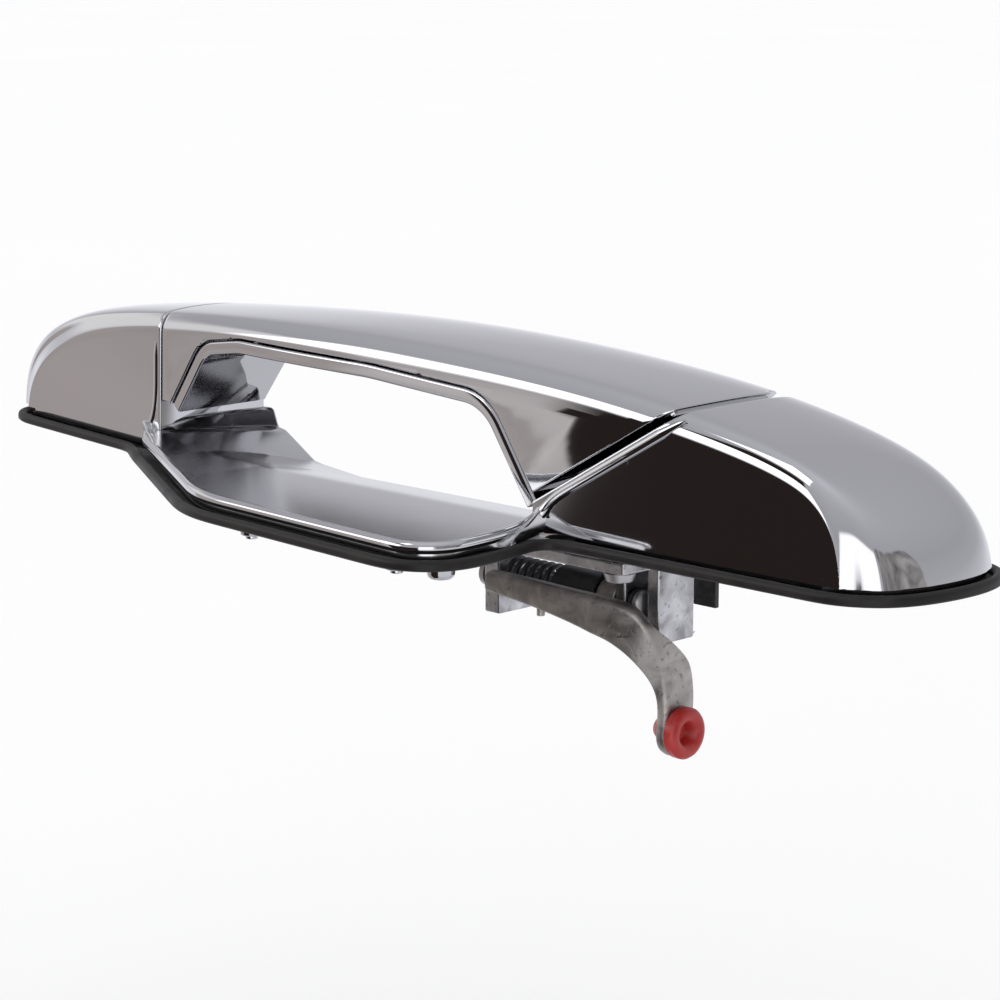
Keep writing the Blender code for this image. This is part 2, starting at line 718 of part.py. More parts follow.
def make_handle_cover(chrome):
    cover = body_shell("handle_cover", chrome)
    combine(cover, handle_zone("keep_zone", PART_GAP_LEFT, PART_GAP_RIGHT), "INTERSECT")
    reach = LIP_THICK + LIP_GROOVE
    edge_left = PART_LEFT_X - 10.0
    cut(cover, opening_prism("cut_opening", reach, NEAR_Y, HINGE_Y - 4.0),
        box("cut_leg_left", edge_left, -60.0, NEAR_Y, HINGE_Y - 4.0, LOW_Z, 14.0),
        box("cut_leg_right", 45.0, 80.0, NEAR_Y, HINGE_Y - 4.0, LOW_Z, 8.6),
        box("cut_back", edge_left, 80.0, HINGE_Y - 6.0, FAR_Y, LOW_Z, HANDLE_BACK_Z))
    cut(cover, far_relief("relief_right"))
    for index, (x, y) in enumerate(HANDLE_SCREWS):
        join(cover, arm_boss(f"cover_boss_{index}", x, y, TAB_TOP + GAP, BODY_HEIGHT * 0.9))
        cut(cover, rod(f"cover_bore_{index}", (x, y, TAB_TOP - 2.0), (x, y, TAB_TOP + 2.4),
                       SCREW_R + PIN_FIT, segments=12))
    return cover


def make_liner(chrome):
    """The inner lip: an arch that lines the finger opening."""
    inner = lip_line(0.0)
    outer = lip_line(LIP_THICK)
    lean = DRAFT / BODY_HEIGHT
    rings = []
    for a, b in zip(inner, outer):
        near_a = front_y(a.x) + lean * a.y + LIP_SETBACK
        near_b = front_y(b.x) + lean * b.y + LIP_SETBACK
        rings.append([(a.x, near_a, a.y), (a.x, LINER_FAR_Y, a.y),
                      (b.x, LINER_FAR_Y, b.y), (b.x, near_b, b.y)])
    liner = loft("handle_liner", rings, chrome, smooth=True)
    cut(liner, box("liner_notch", DRIVE_X - GAP, FAR_X, SLOT_Y0, FAR_Y, LOW_Z, SLOT_TOP))
    return liner


def arm_outline():
    """Side view of a hinge arm: a round eye and a leg up to the handle's roof."""
    start, stop = math.radians(-150), math.radians(60)
    eye = [(HINGE_Y + ARM_EYE_R * math.cos(start + (stop - start) * k / 10),
            HINGE_Z + ARM_EYE_R * math.sin(start + (stop - start) * k / 10)) for k in range(11)]
    return eye + [(32.5, TAB_TOP - 4.0), (32.0, TAB_TOP), (20.0, TAB_TOP), (20.0, TAB_TOP - 3.5),
                  (28.0, TAB_TOP - 9.0)]


def polar(y, z, radius, degrees):
    angle = math.radians(degrees)
    return Vector((y + radius * math.cos(angle), z + radius * math.sin(angle)))


def drive_outline():
    """The drive finger at rest, from the hinge to past the contact point."""
    lead = HANDLE_TRAVEL / 2
    angle = LINK_ANGLE + 180 + lead
    back = Vector((math.sin(math.radians(angle)), -math.cos(math.radians(angle)))) * -1.0
    root = Vector((HINGE_Y, HINGE_Z))
    tip = polar(HINGE_Y, HINGE_Z, DRIVE_REACH + DRIVE_GRIP, angle)
    near = back * (CONTACT_CLEAR / 2)
    far = back * (CONTACT_CLEAR / 2 + DRIVE_WIDE)
    return root, tip, near, far


def make_arm(name, x0, tab_x0, tab_x1, screw, steel, extras=()):
    arm = plate_x(name, arm_outline(), x0, x0 + ARM_THICK, steel)
    join(arm, box(name + "_tab", tab_x0, tab_x1, 20.0, 32.0, TAB_TOP - TAB_THICK, TAB_TOP), *extras)
    cut(arm, rod(name + "_eye", (x0 - 5, HINGE_Y, HINGE_Z), (x0 + 9, HINGE_Y, HINGE_Z),
                 HINGE_PIN_R + PIN_FIT, segments=16),
        rod(name + "_screw_bore", (*screw, TAB_TOP - 6), (*screw, TAB_TOP + 3),
            SCREW_R + PIN_FIT, segments=12))
    return arm


def make_left_arm(steel):
    x0 = PART_LEFT_X + PART_GAP_LEFT + 0.6
    return make_arm("handle_arm_left", x0, x0, HANDLE_SCREWS[0][0] + 5.0, HANDLE_SCREWS[0], steel)


def make_right_arm(steel):
    root, tip, near, far = drive_outline()
    finger = [root + near, tip + near, tip + far, root + far]
    pad_root = root.lerp(tip, (DRIVE_REACH - DRIVE_GRIP) / (DRIVE_REACH + DRIVE_GRIP))
    pad = [pad_root + near, tip + near, tip + far, pad_root + far]
    extras = (plate_x("drive_finger", finger, DRIVE_X, DRIVE_X + ARM_THICK),
              plate_x("drive_pad", pad, DRIVE_X, HUB_X1 - 0.4))
    return make_arm("handle_arm_right", DRIVE_X, HANDLE_SCREWS[1][0] - 5.0, DRIVE_X + ARM_THICK,
                    HANDLE_SCREWS[1], steel, extras)


def make_screw(name, x, y, z, up, length, steel):
    """A pan head screw; z is the seat of its head and up is the way its shank points."""
    bm = bmesh.new()
    add_rod(bm, (x, y, z), (x, y, z - up * SCREW_HEAD_THICK), SCREW_HEAD_R, SCREW_HEAD_R * 0.8, segments=16)
    head = finish(bm, name, steel, smooth=True)
    join(head, rod(name + "_shank", (x, y, z - up * 0.5), (x, y, z + up * length), SCREW_R, segments=12))
    return head


def coil(name, x0, y, z, radius, wire, pitch, turns, steel, sides=6, steps=14):
    """A helical spring whose axis runs along X, with its two ends turned down straight."""
    path = []
    count = int(turns * steps)
    for step in range(count + 1):
        angle = 2 * math.pi * step / steps
        path.append((x0 + pitch * step / steps, y + radius * math.cos(angle), z + radius * math.sin(angle)))
    bm = bmesh.new()
    rings = []
    for index, point in enumerate(path):
        before = Vector(path[max(index - 1, 0)])
        after = Vector(path[min(index + 1, len(path) - 1)])
        along = (after - before).normalized()
        side = along.cross(Vector((1, 0, 0))).normalized()
        lift = side.cross(along).normalized()
        rings.append([bm.verts.new(Vector(point) + side * wire * math.cos(2 * math.pi * k / sides)
                                   + lift * wire * math.sin(2 * math.pi * k / sides))
                      for k in range(sides)])
    bridge_rings(bm, rings, close_rings=True)
    bm.faces.new(list(reversed(rings[0])))
    bm.faces.new(rings[-1])
    return finish(bm, name, steel, smooth=True)


# ---------------------------------------------------------------- gasket
def gasket_path():
    """Centre line of the gasket's rim, from the left cap's far side round to the right cap's."""
    half = GASKET_WIDTH / 2 + GAP
    left = list(reversed(base_outline("left")))
    rim = resample(rim_line(), RIM_COUNT)
    right = base_outline("right")
    outer_rim = offset_line(rim, -BEAD_RADIUS)
    line = left[:-2] + outer_rim[1:-2] + right[3:]
    return offset_line(line, -half)


def make_gasket(rubber):
    half = GASKET_WIDTH / 2
    height = GASKET_TOP - GASKET_BOTTOM
    section = [(half, 0.0), (half, height), (-half, height), (-half, GASKET_FLANGE),
               (-half - GASKET_FLANGE_WIDTH, GASKET_FLANGE), (-half - GASKET_FLANGE_WIDTH, 0.0)]
    return sweep("base_gasket", [(p.x, p.y, GASKET_BOTTOM) for p in gasket_path()], section,
                 material=rubber)


# ---------------------------------------------------------------- bracket and bellcrank
def make_bracket(zinc):
    ear_y0, ear_y1 = CRANK_Y - 7.5, CRANK_Y + 7.5
    ear_low = CRANK_Z - 8.0
    plate_low = BRACKET_TOP - BRACKET_THICK
    top_y1 = BRACKET_SCREWS[0][1] + 5.6
    top_y0 = BRACKET_SCREWS[0][1] - 4.6
    bracket = box("bracket", EAR_LEFT_X, BLOCK_X1, top_y0, top_y1, plate_low, BRACKET_TOP, zinc)
    sink = BRACKET_THICK / 2
    join(bracket,
         box("ear_left", EAR_LEFT_X, EAR_LEFT_X + EAR_LEFT_THICK, ear_y0 + 3.5, ear_y1,
             ear_low, plate_low + sink),
         box("ear_right", EAR_RIGHT_X, EAR_RIGHT_X + EAR_RIGHT_THICK, ear_y0 + 3.6, ear_y1 + 2.5,
             ear_low + 1.0, plate_low + sink),
         box("ear_foot", EAR_RIGHT_X - 3.6, EAR_RIGHT_X + 6.0, CRANK_Y - 1.5, CRANK_Y + 5.0,
             ear_low - 0.4, CRANK_Z - HUB_R - 1.2),
         box("block_link", EAR_RIGHT_X, BLOCK_X1, ear_y1 - 2.5, ear_y1 + 2.5, ear_low + 1.0,
             plate_low + sink),
         box("block", BLOCK_X0, BLOCK_X1, CRANK_Y - 1.5, ear_y1 + 2.4, ear_low + 0.2, plate_low + sink),
         box("block_root", BLOCK_X0, BLOCK_X1, top_y0 + 4.0, CRANK_Y + 4.0, plate_low,
             BRACKET_TOP))
    cut(bracket, rod("bracket_pin_bore", (EAR_LEFT_X - 5, CRANK_Y, CRANK_Z),
                     (EAR_RIGHT_X + EAR_RIGHT_THICK + 2.0, CRANK_Y, CRANK_Z), CRANK_PIN_R + PIN_FIT,
                     segments=16))
    for index, (x, y) in enumerate(BRACKET_SCREWS):
        cut(bracket, rod(f"bracket_screw_bore_{index}", (x, y, plate_low - 3), (x, y, BRACKET_TOP + 3),
                         SCREW_R + PIN_FIT, segments=12))
    return bracket


def bar_rings():
    """Sections of the bellcrank's bar from its free left end to the rod arm."""
    back = BAR_FRONT_Y + BAR_THICK
    table = ((EAR_LEFT_X + 6.0, -11.6, -14.6), (EAR_LEFT_X + 7.5, -10.9, -15.3),
             (50.0, -11.2, -16.2), (62.0, -11.8, -17.6), (74.0, -12.4, -19.6),
             (ROD_ARM_X0 + 1.0, -13.2, -21.0))
    rings = []
    for x, top, low in table:
        top += CRANK_Z + 14.0
        low += CRANK_Z + 14.0
        edge = 0.9
        rings.append([(x, BAR_FRONT_Y + edge, top), (x, BAR_FRONT_Y, top - edge),
                      (x, BAR_FRONT_Y, low + edge), (x, BAR_FRONT_Y + edge, low),
                      (x, back, low), (x, back, top)])
    return rings


def rod_arm_outline():
    """Side view of the arm that carries the rod clip."""
    tip_r = ROD_ARM_WIDTH / 2 + 0.6
    tip = Vector((ROD_HOLE_Y, ROD_HOLE_Z))
    tip_arc = [polar(tip.x, tip.y - 1.0, tip_r, 180 + 180 * k / 8) for k in range(9)]
    front = [(BAR_FRONT_Y, CRANK_Z + 1.2), (BAR_FRONT_Y, CRANK_Z - 5.5), (BAR_FRONT_Y + 2.2, CRANK_Z - 10.0),
             (BAR_FRONT_Y + 6.4, CRANK_Z - 16.5), (tip.x - tip_r + 0.6, tip.y + 9.0)]
    back = [(tip.x + tip_r + 0.4, tip.y + 8.0), (tip.x + tip_r - 1.6, CRANK_Z - 11.0),
            (CRANK_Y - 1.0, CRANK_Z - 3.4), (CRANK_Y - 5.0, CRANK_Z + 1.0)]
    return front + [tuple(p) for p in tip_arc] + back


def lug_outline():
    """The bellcrank's input lug at rest, seen along X."""
    angle = LINK_ANGLE - CRANK_RATIO * HANDLE_TRAVEL / 2
    side = Vector((-math.sin(math.radians(angle)), math.cos(math.radians(angle))))
    root = Vector((CRANK_Y, CRANK_Z))
    tip = polar(CRANK_Y, CRANK_Z, CRANK_REACH + DRIVE_GRIP, angle)
    near = side * (CONTACT_CLEAR / 2)
    far = side * (CONTACT_CLEAR / 2 + LUG_WIDE)
    return [root + near, tip + near, tip + far, root + far]


def make_bellcrank(cast):
    crank = rod("bellcrank", (HUB_X0, CRANK_Y, CRANK_Z), (HUB_X1, CRANK_Y, CRANK_Z), HUB_R, cast)
    join(crank, loft("bar", bar_rings()),
         plate_x("rod_arm", rod_arm_outline(), ROD_ARM_X0, ROD_ARM_X0 + ROD_ARM_THICK),
         box("web", HUB_X0 + 0.4, HUB_X1 - 0.4, BAR_FRONT_Y + 1.0, CRANK_Y, CRANK_Z - 2.6, CRANK_Z + 1.6),
         plate_x("lug", lug_outline(), HUB_X0 + 0.2, HUB_X1 - 0.2),
         rod("bar_stub", (52.0, BAR_FRONT_Y + 1.8, CRANK_Z - 1.0), (52.0, BAR_FRONT_Y + 1.8, CRANK_Z - 4.6),
             0.9, segments=10))
    cut(crank, rod("hub_bore", (HUB_X0 - 2, CRANK_Y, CRANK_Z), (HUB_X1 + 2, CRANK_Y, CRANK_Z),
                   CRANK_PIN_R + PIN_FIT, segments=16),
        rod("rod_bore", (ROD_ARM_X0 - 2, ROD_HOLE_Y, ROD_HOLE_Z), (ROD_ARM_X0 + 6, ROD_HOLE_Y, ROD_HOLE_Z),
            ROD_HOLE_R + PIN_FIT, segments=16))
    set_origin(crank, HUB_X0, CRANK_Y, CRANK_Z)
    return crank


def make_rod_clip(red):
    """Turned plastic clip: a countersunk flange, a neck through the arm and a snap stub."""
    face = ROD_ARM_X0 + ROD_ARM_THICK + GAP
    back = ROD_ARM_X0 - GAP
    section = [(face + CLIP_FLANGE_THICK, 1.9 + 1.4), (face + CLIP_FLANGE_THICK, CLIP_FLANGE_R - 0.8),
               (face + CLIP_FLANGE_THICK - 0.9, CLIP_FLANGE_R), (face, CLIP_FLANGE_R),
               (face, ROD_HOLE_R), (back, ROD_HOLE_R), (back, ROD_HOLE_R + 0.7),
               (back - 2.2, ROD_HOLE_R - 0.4), (back - 2.2, 1.3), (face + 0.8, 1.3)]
    bm = bmesh.new()
    rings = []
    steps = 24
    for step in range(steps):
        angle = 2 * math.pi * step / steps
        rings.append([bm.verts.new((x, ROD_HOLE_Y + r * math.cos(angle), ROD_HOLE_Z + r * math.sin(angle)))
                      for x, r in section])
    bridge_rings(bm, rings, close_rings=True, close_path=True)
    clip = finish(bm, "rod_clip", red, smooth=True)
    set_origin(clip, face, ROD_HOLE_Y, ROD_HOLE_Z)
    return clip


def make_pivot_pin(steel):
    ear_face = EAR_RIGHT_X + EAR_RIGHT_THICK
    head = ear_face + GAP * 2 + WASHER_THICK
    pin = rod("pivot_pin", (EAR_LEFT_X - 3.4, CRANK_Y, CRANK_Z), (head + 0.5, CRANK_Y, CRANK_Z),
              CRANK_PIN_R, steel)
    bm = bmesh.new()
    add_rod(bm, (head, CRANK_Y, CRANK_Z), (head + PIN_HEAD_THICK, CRANK_Y, CRANK_Z), PIN_HEAD_R, PIN_HEAD_R - 0.4,
            segments=24)
    join(pin, finish(bm, "pin_head"))
    return pin


def make_small_parts(mats):
    """Washers, springs, pins, screws, inserts and the plastic tab."""
    ear_face = EAR_RIGHT_X + EAR_RIGHT_THICK
    hole = CRANK_PIN_R + PIN_FIT
    ring_x("pin_washer_right", ear_face + GAP, ear_face + GAP + WASHER_THICK, CRANK_Y, CRANK_Z,
           hole, PIN_HEAD_R + 0.3, mats["black"])
    ring_x("pin_washer_left", EAR_LEFT_X - GAP - WASHER_THICK, EAR_LEFT_X - GAP, CRANK_Y, CRANK_Z,
           hole, PIN_HEAD_R + 0.2, mats["black"])
    ring_x("pin_retainer", EAR_LEFT_X - 2 * GAP - 2.2, EAR_LEFT_X - 2 * GAP - WASHER_THICK,
           CRANK_Y, CRANK_Z, CRANK_PIN_R + 0.15, PIN_HEAD_R - 0.2, mats["steel"])
    ring_x("hub_sleeve", HUB_X0 - GAP - 12.6, HUB_X0 - GAP, CRANK_Y, CRANK_Z, hole, 5.4, mats["black"],
           segments=24)
    coil("bellcrank_spring", EAR_LEFT_X + EAR_LEFT_THICK + 1.6, CRANK_Y, CRANK_Z, SPRING_COIL_R,
         SPRING_WIRE_R, SPRING_PITCH, SPRING_TURNS, mats["wire"])
    left_pin_end = PART_LEFT_X - END_WALL - 14.0
    rod("hinge_pin_left", (left_pin_end, HINGE_Y, HINGE_Z),
        (PART_LEFT_X + PART_GAP_LEFT + ARM_THICK + 2.0, HINGE_Y, HINGE_Z), HINGE_PIN_R, mats["steel"],
        segments=16)
    rod("hinge_pin_right", (DRIVE_X - 1.6, HINGE_Y, HINGE_Z),
        (part_right_x(HINGE_Z) + END_WALL * SLANT + 3.0, HINGE_Y, HINGE_Z), HINGE_PIN_R, mats["steel"],
        segments=16)
    coil("handle_spring", left_pin_end + 1.5, HINGE_Y, HINGE_Z, HINGE_PIN_R + 1.4, 0.6, 1.8, 5.0,
         mats["wire"], steps=12)
    for side, (x, y) in zip(("left", "right"), HANDLE_SCREWS):
        make_screw(f"handle_screw_{side}", x, y, TAB_TOP - TAB_THICK - GAP, 1, TAB_THICK + GAP + 1.8,
                   mats["steel"])
    plate_low = BRACKET_TOP - BRACKET_THICK
    for side, (x, y) in zip(("left", "right"), BRACKET_SCREWS):
        make_screw(f"bracket_screw_{side}", x, y, plate_low - GAP, 1, BRACKET_THICK + GAP + SCREW_BITE,
                   mats["steel"])
    for side, (x, y) in zip(("left", "right"), INSERTS):
        make_insert(f"mount_insert_{side}", x, y, mats["brass"])
    make_cover_tab(mats["black"])


def make_cover_tab(plastic):
    """A black tab that stands on the bracket and hangs down behind the rod arm's plane."""
    low = BRACKET_TOP + GAP
    tab = box("cover_tab", BLOCK_X0 + 0.3, 90.6, CRANK_Y - 3.0, CRANK_Y + 5.4, low, low + 1.2, plastic)
    join(tab, box("tab_blade", 84.4, 90.6, CRANK_Y + 4.2, CRANK_Y + 5.4, CRANK_Z + 1.2, low + 0.6))


def make_insert(name, x, y, brass):
    """A threaded insert flush with the gasket's seat, its blind bore facing the door."""
    bm = bmesh.new()
    low = GASKET_TOP - 1.1
    high = GASKET_TOP + INSERT_LENGTH - GAP
    section = ((low, INSERT_BORE_R), (low, INSERT_R), (high, INSERT_R), (high, INSERT_BORE_R))
    steps = 20
    rings = []
    for step in range(steps):
        angle = 2 * math.pi * step / steps
        rings.append([bm.verts.new((x + r * math.cos(angle), y + r * math.sin(angle), z))
                      for z, r in section])
    bridge_rings(bm, rings, close_rings=True, close_path=True)
    return finish(bm, name, brass, smooth=True)


def build():
    clear_scene()
    chrome = make_material("chrome", (0.72, 0.72, 0.74), 0.06, 1.0)
    mats = {
        "black": make_material("black_plastic", (0.02, 0.02, 0.02), 0.5, 0.0),
        "steel": make_material("zinc_steel", (0.55, 0.55, 0.56), 0.35, 1.0),
        "wire": make_material("spring_wire", (0.08, 0.08, 0.085), 0.4, 1.0),
        "brass": make_material("brass", (0.71, 0.52, 0.24), 0.35, 1.0),
    }
    zinc = make_material("die_cast_zinc", (0.5, 0.5, 0.52), 0.4, 1.0)
    cast = make_material("raw_casting", (0.2, 0.185, 0.175), 0.6, 0.8)
    rubber = make_material("gasket_rubber", (0.025, 0.021, 0.02), 0.55, 0.0)
    red = make_material("red_plastic", (0.45, 0.02, 0.018), 0.4, 0.0)
    make_housing(chrome)
    moving = [make_handle_cover(chrome), make_liner(chrome), make_left_arm(mats["steel"]),
              make_right_arm(mats["steel"])]
    make_gasket(rubber)
    make_bracket(zinc)
    make_bellcrank(cast)
    make_rod_clip(red)
    make_pivot_pin(mats["steel"])
    make_small_parts(mats)
    for obj in moving:
        set_origin(obj, 0.0, HINGE_Y, HINGE_Z)
    for side in ("left", "right"):
        set_origin(bpy.data.objects[f"handle_screw_{side}"], 0.0, HINGE_Y, HINGE_Z)


build()
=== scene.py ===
"""Looks of an outside car door handle: chrome, rubber, castings, spring wire and plastic.

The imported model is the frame. Sizes are in millimetres and MM turns them into metres.
+Z points out of the door, +X runs along the handle to the bellcrank, and fingers enter
from -Y.
"""
from __future__ import annotations

import logging
import math
from collections.abc import Callable, Iterable, Sequence
from dataclasses import dataclass
from enum import Enum
from functools import lru_cache

import bmesh
import bpy
from mathutils import Matrix, Vector


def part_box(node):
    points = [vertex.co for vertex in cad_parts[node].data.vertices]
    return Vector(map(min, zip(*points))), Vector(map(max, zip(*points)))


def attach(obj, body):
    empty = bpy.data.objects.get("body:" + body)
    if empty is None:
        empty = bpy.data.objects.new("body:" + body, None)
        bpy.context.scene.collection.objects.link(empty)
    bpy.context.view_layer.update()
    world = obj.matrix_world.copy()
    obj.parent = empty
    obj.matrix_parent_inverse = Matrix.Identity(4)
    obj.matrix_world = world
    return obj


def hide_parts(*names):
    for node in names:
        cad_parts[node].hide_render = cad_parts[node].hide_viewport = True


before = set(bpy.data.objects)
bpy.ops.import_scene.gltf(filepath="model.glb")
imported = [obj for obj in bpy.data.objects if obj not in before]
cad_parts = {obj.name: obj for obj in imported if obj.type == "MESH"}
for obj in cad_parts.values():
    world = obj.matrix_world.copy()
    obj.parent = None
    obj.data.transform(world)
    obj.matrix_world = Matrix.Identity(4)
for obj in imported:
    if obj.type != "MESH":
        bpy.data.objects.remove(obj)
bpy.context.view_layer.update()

log = logging.getLogger("door_handle")

MM = 0.001

Point2 = tuple[float, float]
Point3 = tuple[float, float, float]
Place = Callable[[float, float], Vector]
Line = list[Vector]

AXIS_X = Vector((1, 0, 0))
AXIS_Z = Vector((0, 0, 1))


class Body(Enum):
    """The rigid bodies that pieces ride on."""

    BASE = "base"
    HANDLE = "handle"
    CRANK = "crank"
    CLIP = "clip"


# ---------------------------------------------------------------- shader bench
class Signal:
    """A socket that takes part in arithmetic; each operation adds a Math node."""

    def __init__(self, bench: "Bench", socket: bpy.types.NodeSocket) -> None:
        """Wrap a socket of a bench's tree."""
        self.bench = bench
        self.socket = socket

    def _do(self, operation: str, first: object, second: object) -> "Signal":
        """Add one Math node on two values."""
        return self.bench.signal("ShaderNodeMath", {"operation": operation}, {0: first, 1: second})

    def __add__(self, other: object) -> "Signal":
        """Sum of two values."""
        return self._do("ADD", self, other)

    __radd__ = __add__

    def __sub__(self, other: object) -> "Signal":
        """This value less another."""
        return self._do("SUBTRACT", self, other)

    def __rsub__(self, other: object) -> "Signal":
        """Another value less this one."""
        return self._do("SUBTRACT", other, self)

    def __mul__(self, other: object) -> "Signal":
        """Product of two values."""
        return self._do("MULTIPLY", self, other)

    __rmul__ = __mul__


class Bench:
    """The node tree of one material, with its Principled shader."""

    def __init__(self, name: str) -> None:
        """Make an empty material with a Principled shader and an output.

        Args:
            name: The material's name.
        """
        self.material = bpy.data.materials.new(name)
        self.material.use_nodes = True
        self.tree = self.material.node_tree
        self.shader = self.tree.nodes["Principled BSDF"]
        coordinates = self.node("ShaderNodeTexCoord", {}, {})
        self.place = Signal(self, coordinates.outputs["Object"])

    def node(self, kind: str, settings: dict, inputs: dict) -> bpy.types.Node:
        """Add a node.

        Args:
            kind: The node's Blender type.
            settings: Properties set first; "stops" fills a colour ramp.
            inputs: Values or signals by socket name or number.

        Returns:
            The new node.
        """
        made = self.tree.nodes.new(kind)
        for key, value in settings.items():
            if key == "stops":
                self._fill_ramp(made.color_ramp, value)
            else:
                setattr(made, key, value)
        for key, value in inputs.items():
            if isinstance(value, Signal):
                self.tree.links.new(value.socket, made.inputs[key])
            else:
                made.inputs[key].default_value = value
        return made

    def signal(self, kind: str, settings: dict, inputs: dict, output: int = 0) -> Signal:
        """Add a node and take one of its outputs."""
        return Signal(self, self.node(kind, settings, inputs).outputs[output])

    def _fill_ramp(self, ramp: bpy.types.ColorRamp, stops: Sequence[Point2]) -> None:
        """Give a ramp its grey stops as (position, level) pairs."""
        while len(ramp.elements) < len(stops):
            ramp.elements.new(1.0)
        for element, (position, level) in zip(ramp.elements, stops):
            element.position = position
            element.color = (level, level, level, 1.0)

    def noise(self, scale: float, detail: float, distortion: float = 0.0,
              stretch: Point3 = (1.0, 1.0, 1.0)) -> Signal:
        """Noise from 0 to 1 on Object coordinates.

        Args:
            scale: Cells to a metre, roughly.
            detail: Octaves of finer noise.
            distortion: How far the pattern is stirred.
            stretch: Scale of each axis, to draw the pattern out.

        Returns:
            The noise.
        """
        place = self.place
        if stretch != (1.0, 1.0, 1.0):
            place = self.signal("ShaderNodeMapping", {}, {"Vector": place, "Scale": stretch})
        return self.signal("ShaderNodeTexNoise", {}, {
            "Vector": place, "Scale": scale, "Detail": detail, "Distortion": distortion})

    def ramp(self, value: Signal, stops: Sequence[Point2]) -> Signal:
        """Remap a value through grey stops."""
        return self.signal("ShaderNodeValToRGB", {"stops": stops}, {0: value})

    def mix(self, share: Signal, first: Sequence[float] | Signal,
            second: Sequence[float] | Signal) -> Signal:
        """Blend two colours by a share."""
        start, end = (paint if isinstance(paint, Signal) else (*paint, 1.0) for paint in (first, second))
        return self.signal("ShaderNodeMix", {"data_type": "RGBA"}, {0: share, 6: start, 7: end}, 2)

    def bump(self, height: Signal, depth: float, strength: float) -> Signal:
        """A normal from a height.

        Args:
            height: Height from 0 to 1.
            depth: What a height of 1 stands for, in metres.
            strength: Share of the effect.

        Returns:
            The normal.
        """
        return self.signal("ShaderNodeBump", {}, {
            "Height": height, "Distance": depth, "Strength": strength})

    def finish(self, **sockets: object) -> bpy.types.Material:
        """Set the shader's sockets; an underscore in a name stands for a space.

        Args:
            sockets: Values or signals by socket name.

        Returns:
            The finished material.
        """
        for key, value in sockets.items():
            socket = self.shader.inputs[key.replace("_", " ")]
            if isinstance(value, Signal):
                self.tree.links.new(value.socket, socket)
            else:
                socket.default_value = value
        return self.material


# ---------------------------------------------------------------- finishes
@dataclass(frozen=True)
class Chrome:
    """Bright plating with faint handling marks and dust.

    A draft tilts the shading upwards, as on a wall that widens towards its foot, so that
    upright faces mirror the room and not the scoop below them.
    """

    name: str
    tint: Point3 = (0.585, 0.585, 0.605)
    smudge: Point3 = (0.47, 0.45, 0.42)
    polish: float = 0.035
    marks: float = 1.0
    draft: float = 0.0

    def make(self) -> bpy.types.Material:
        """Build the material.

        Returns:
            The material.
        """
        bench = Bench(self.name)
        patches = bench.ramp(bench.noise(55.0, 4.0, 0.6), ((0.60, 0.0), (0.74, 1.0)))
        specks = bench.ramp(bench.noise(900.0, 3.0, 0.3), ((0.66, 0.0), (0.74, 1.0)))
        film = bench.noise(22.0, 3.0, 1.2)
        soil = patches * specks * (0.75 * self.marks)
        colour = bench.mix(soil, self.tint, self.smudge)
        roughness = soil * 0.25 + film * 0.02 * self.marks + self.polish
        waves = bench.noise(38.0, 1.0)
        if self.draft:
            height = bench.signal("ShaderNodeSeparateXYZ", {}, {0: bench.place}, 2)
            waves = waves - height * self.draft
        return bench.finish(Base_Color=colour, Metallic=1.0, Roughness=roughness,
                            Normal=bench.bump(waves, 0.00012, 0.16))


@dataclass(frozen=True)
class Rubber:
    """Black moulded rubber with a satin skin and grey dust."""

    name: str

    def make(self) -> bpy.types.Material:
        """Build the material.

        Returns:
            The material.
        """
        bench = Bench(self.name)
        dust = bench.ramp(bench.noise(120.0, 5.0, 0.4), ((0.45, 0.0), (0.8, 1.0)))
        grain = bench.noise(2600.0, 2.0)
        colour = bench.mix(dust * 0.6, (0.010, 0.0085, 0.008), (0.034, 0.029, 0.027))
        return bench.finish(Base_Color=colour, Roughness=dust * 0.18 + 0.46, Specular_IOR_Level=0.3,
                            Normal=bench.bump(grain, 0.00004, 0.5))


@dataclass(frozen=True)
class Casting:
    """Bare cast metal: mottled colour, sand grain and bright rubbed spots."""

    name: str
    dark: Point3
    light: Point3
    roughness: float
    grain: float

    def make(self) -> bpy.types.Material:
        """Build the material.

        Returns:
            The material.
        """
        bench = Bench(self.name)
        cloud = bench.ramp(bench.noise(150.0, 6.0, 0.8), ((0.32, 0.0), (0.68, 1.0)))
        sand = bench.noise(1500.0, 4.0, 0.2)
        pits = bench.ramp(bench.noise(700.0, 3.0), ((0.28, 0.0), (0.40, 1.0)))
        scratches = bench.ramp(bench.noise(420.0, 3.0, 0.0, (0.12, 1.0, 1.0)), ((0.62, 0.0), (0.7, 1.0)))
        colour = bench.mix(cloud * pits, self.dark, self.light)
        height = sand * 0.6 + pits * 0.7 + cloud * 0.4
        rough = self.roughness + cloud * 0.14 - scratches * 0.12
        return bench.finish(Base_Color=colour, Metallic=1.0, Roughness=rough,
                            Normal=bench.bump(height, 0.00011, self.grain))


@dataclass(frozen=True)
class Plated:
    """Zinc plated or bare turned metal with fine drawn marks."""

    name: str
    colour: Point3
    roughness: float

    def make(self) -> bpy.types.Material:
        """Build the material.

        Returns:
            The material.
        """
        bench = Bench(self.name)
        drawn = bench.noise(1800.0, 3.0, 0.0, (0.06, 1.0, 1.0))
        haze = bench.noise(260.0, 4.0, 0.5)
        shade = tuple(part * 0.6 for part in self.colour)
        colour = bench.mix(haze, shade, self.colour)
        return bench.finish(Base_Color=colour, Metallic=1.0,
                            Roughness=haze * 0.18 + drawn * 0.08 + (self.roughness - 0.1),
                            Normal=bench.bump(drawn, 0.00003, 0.45))


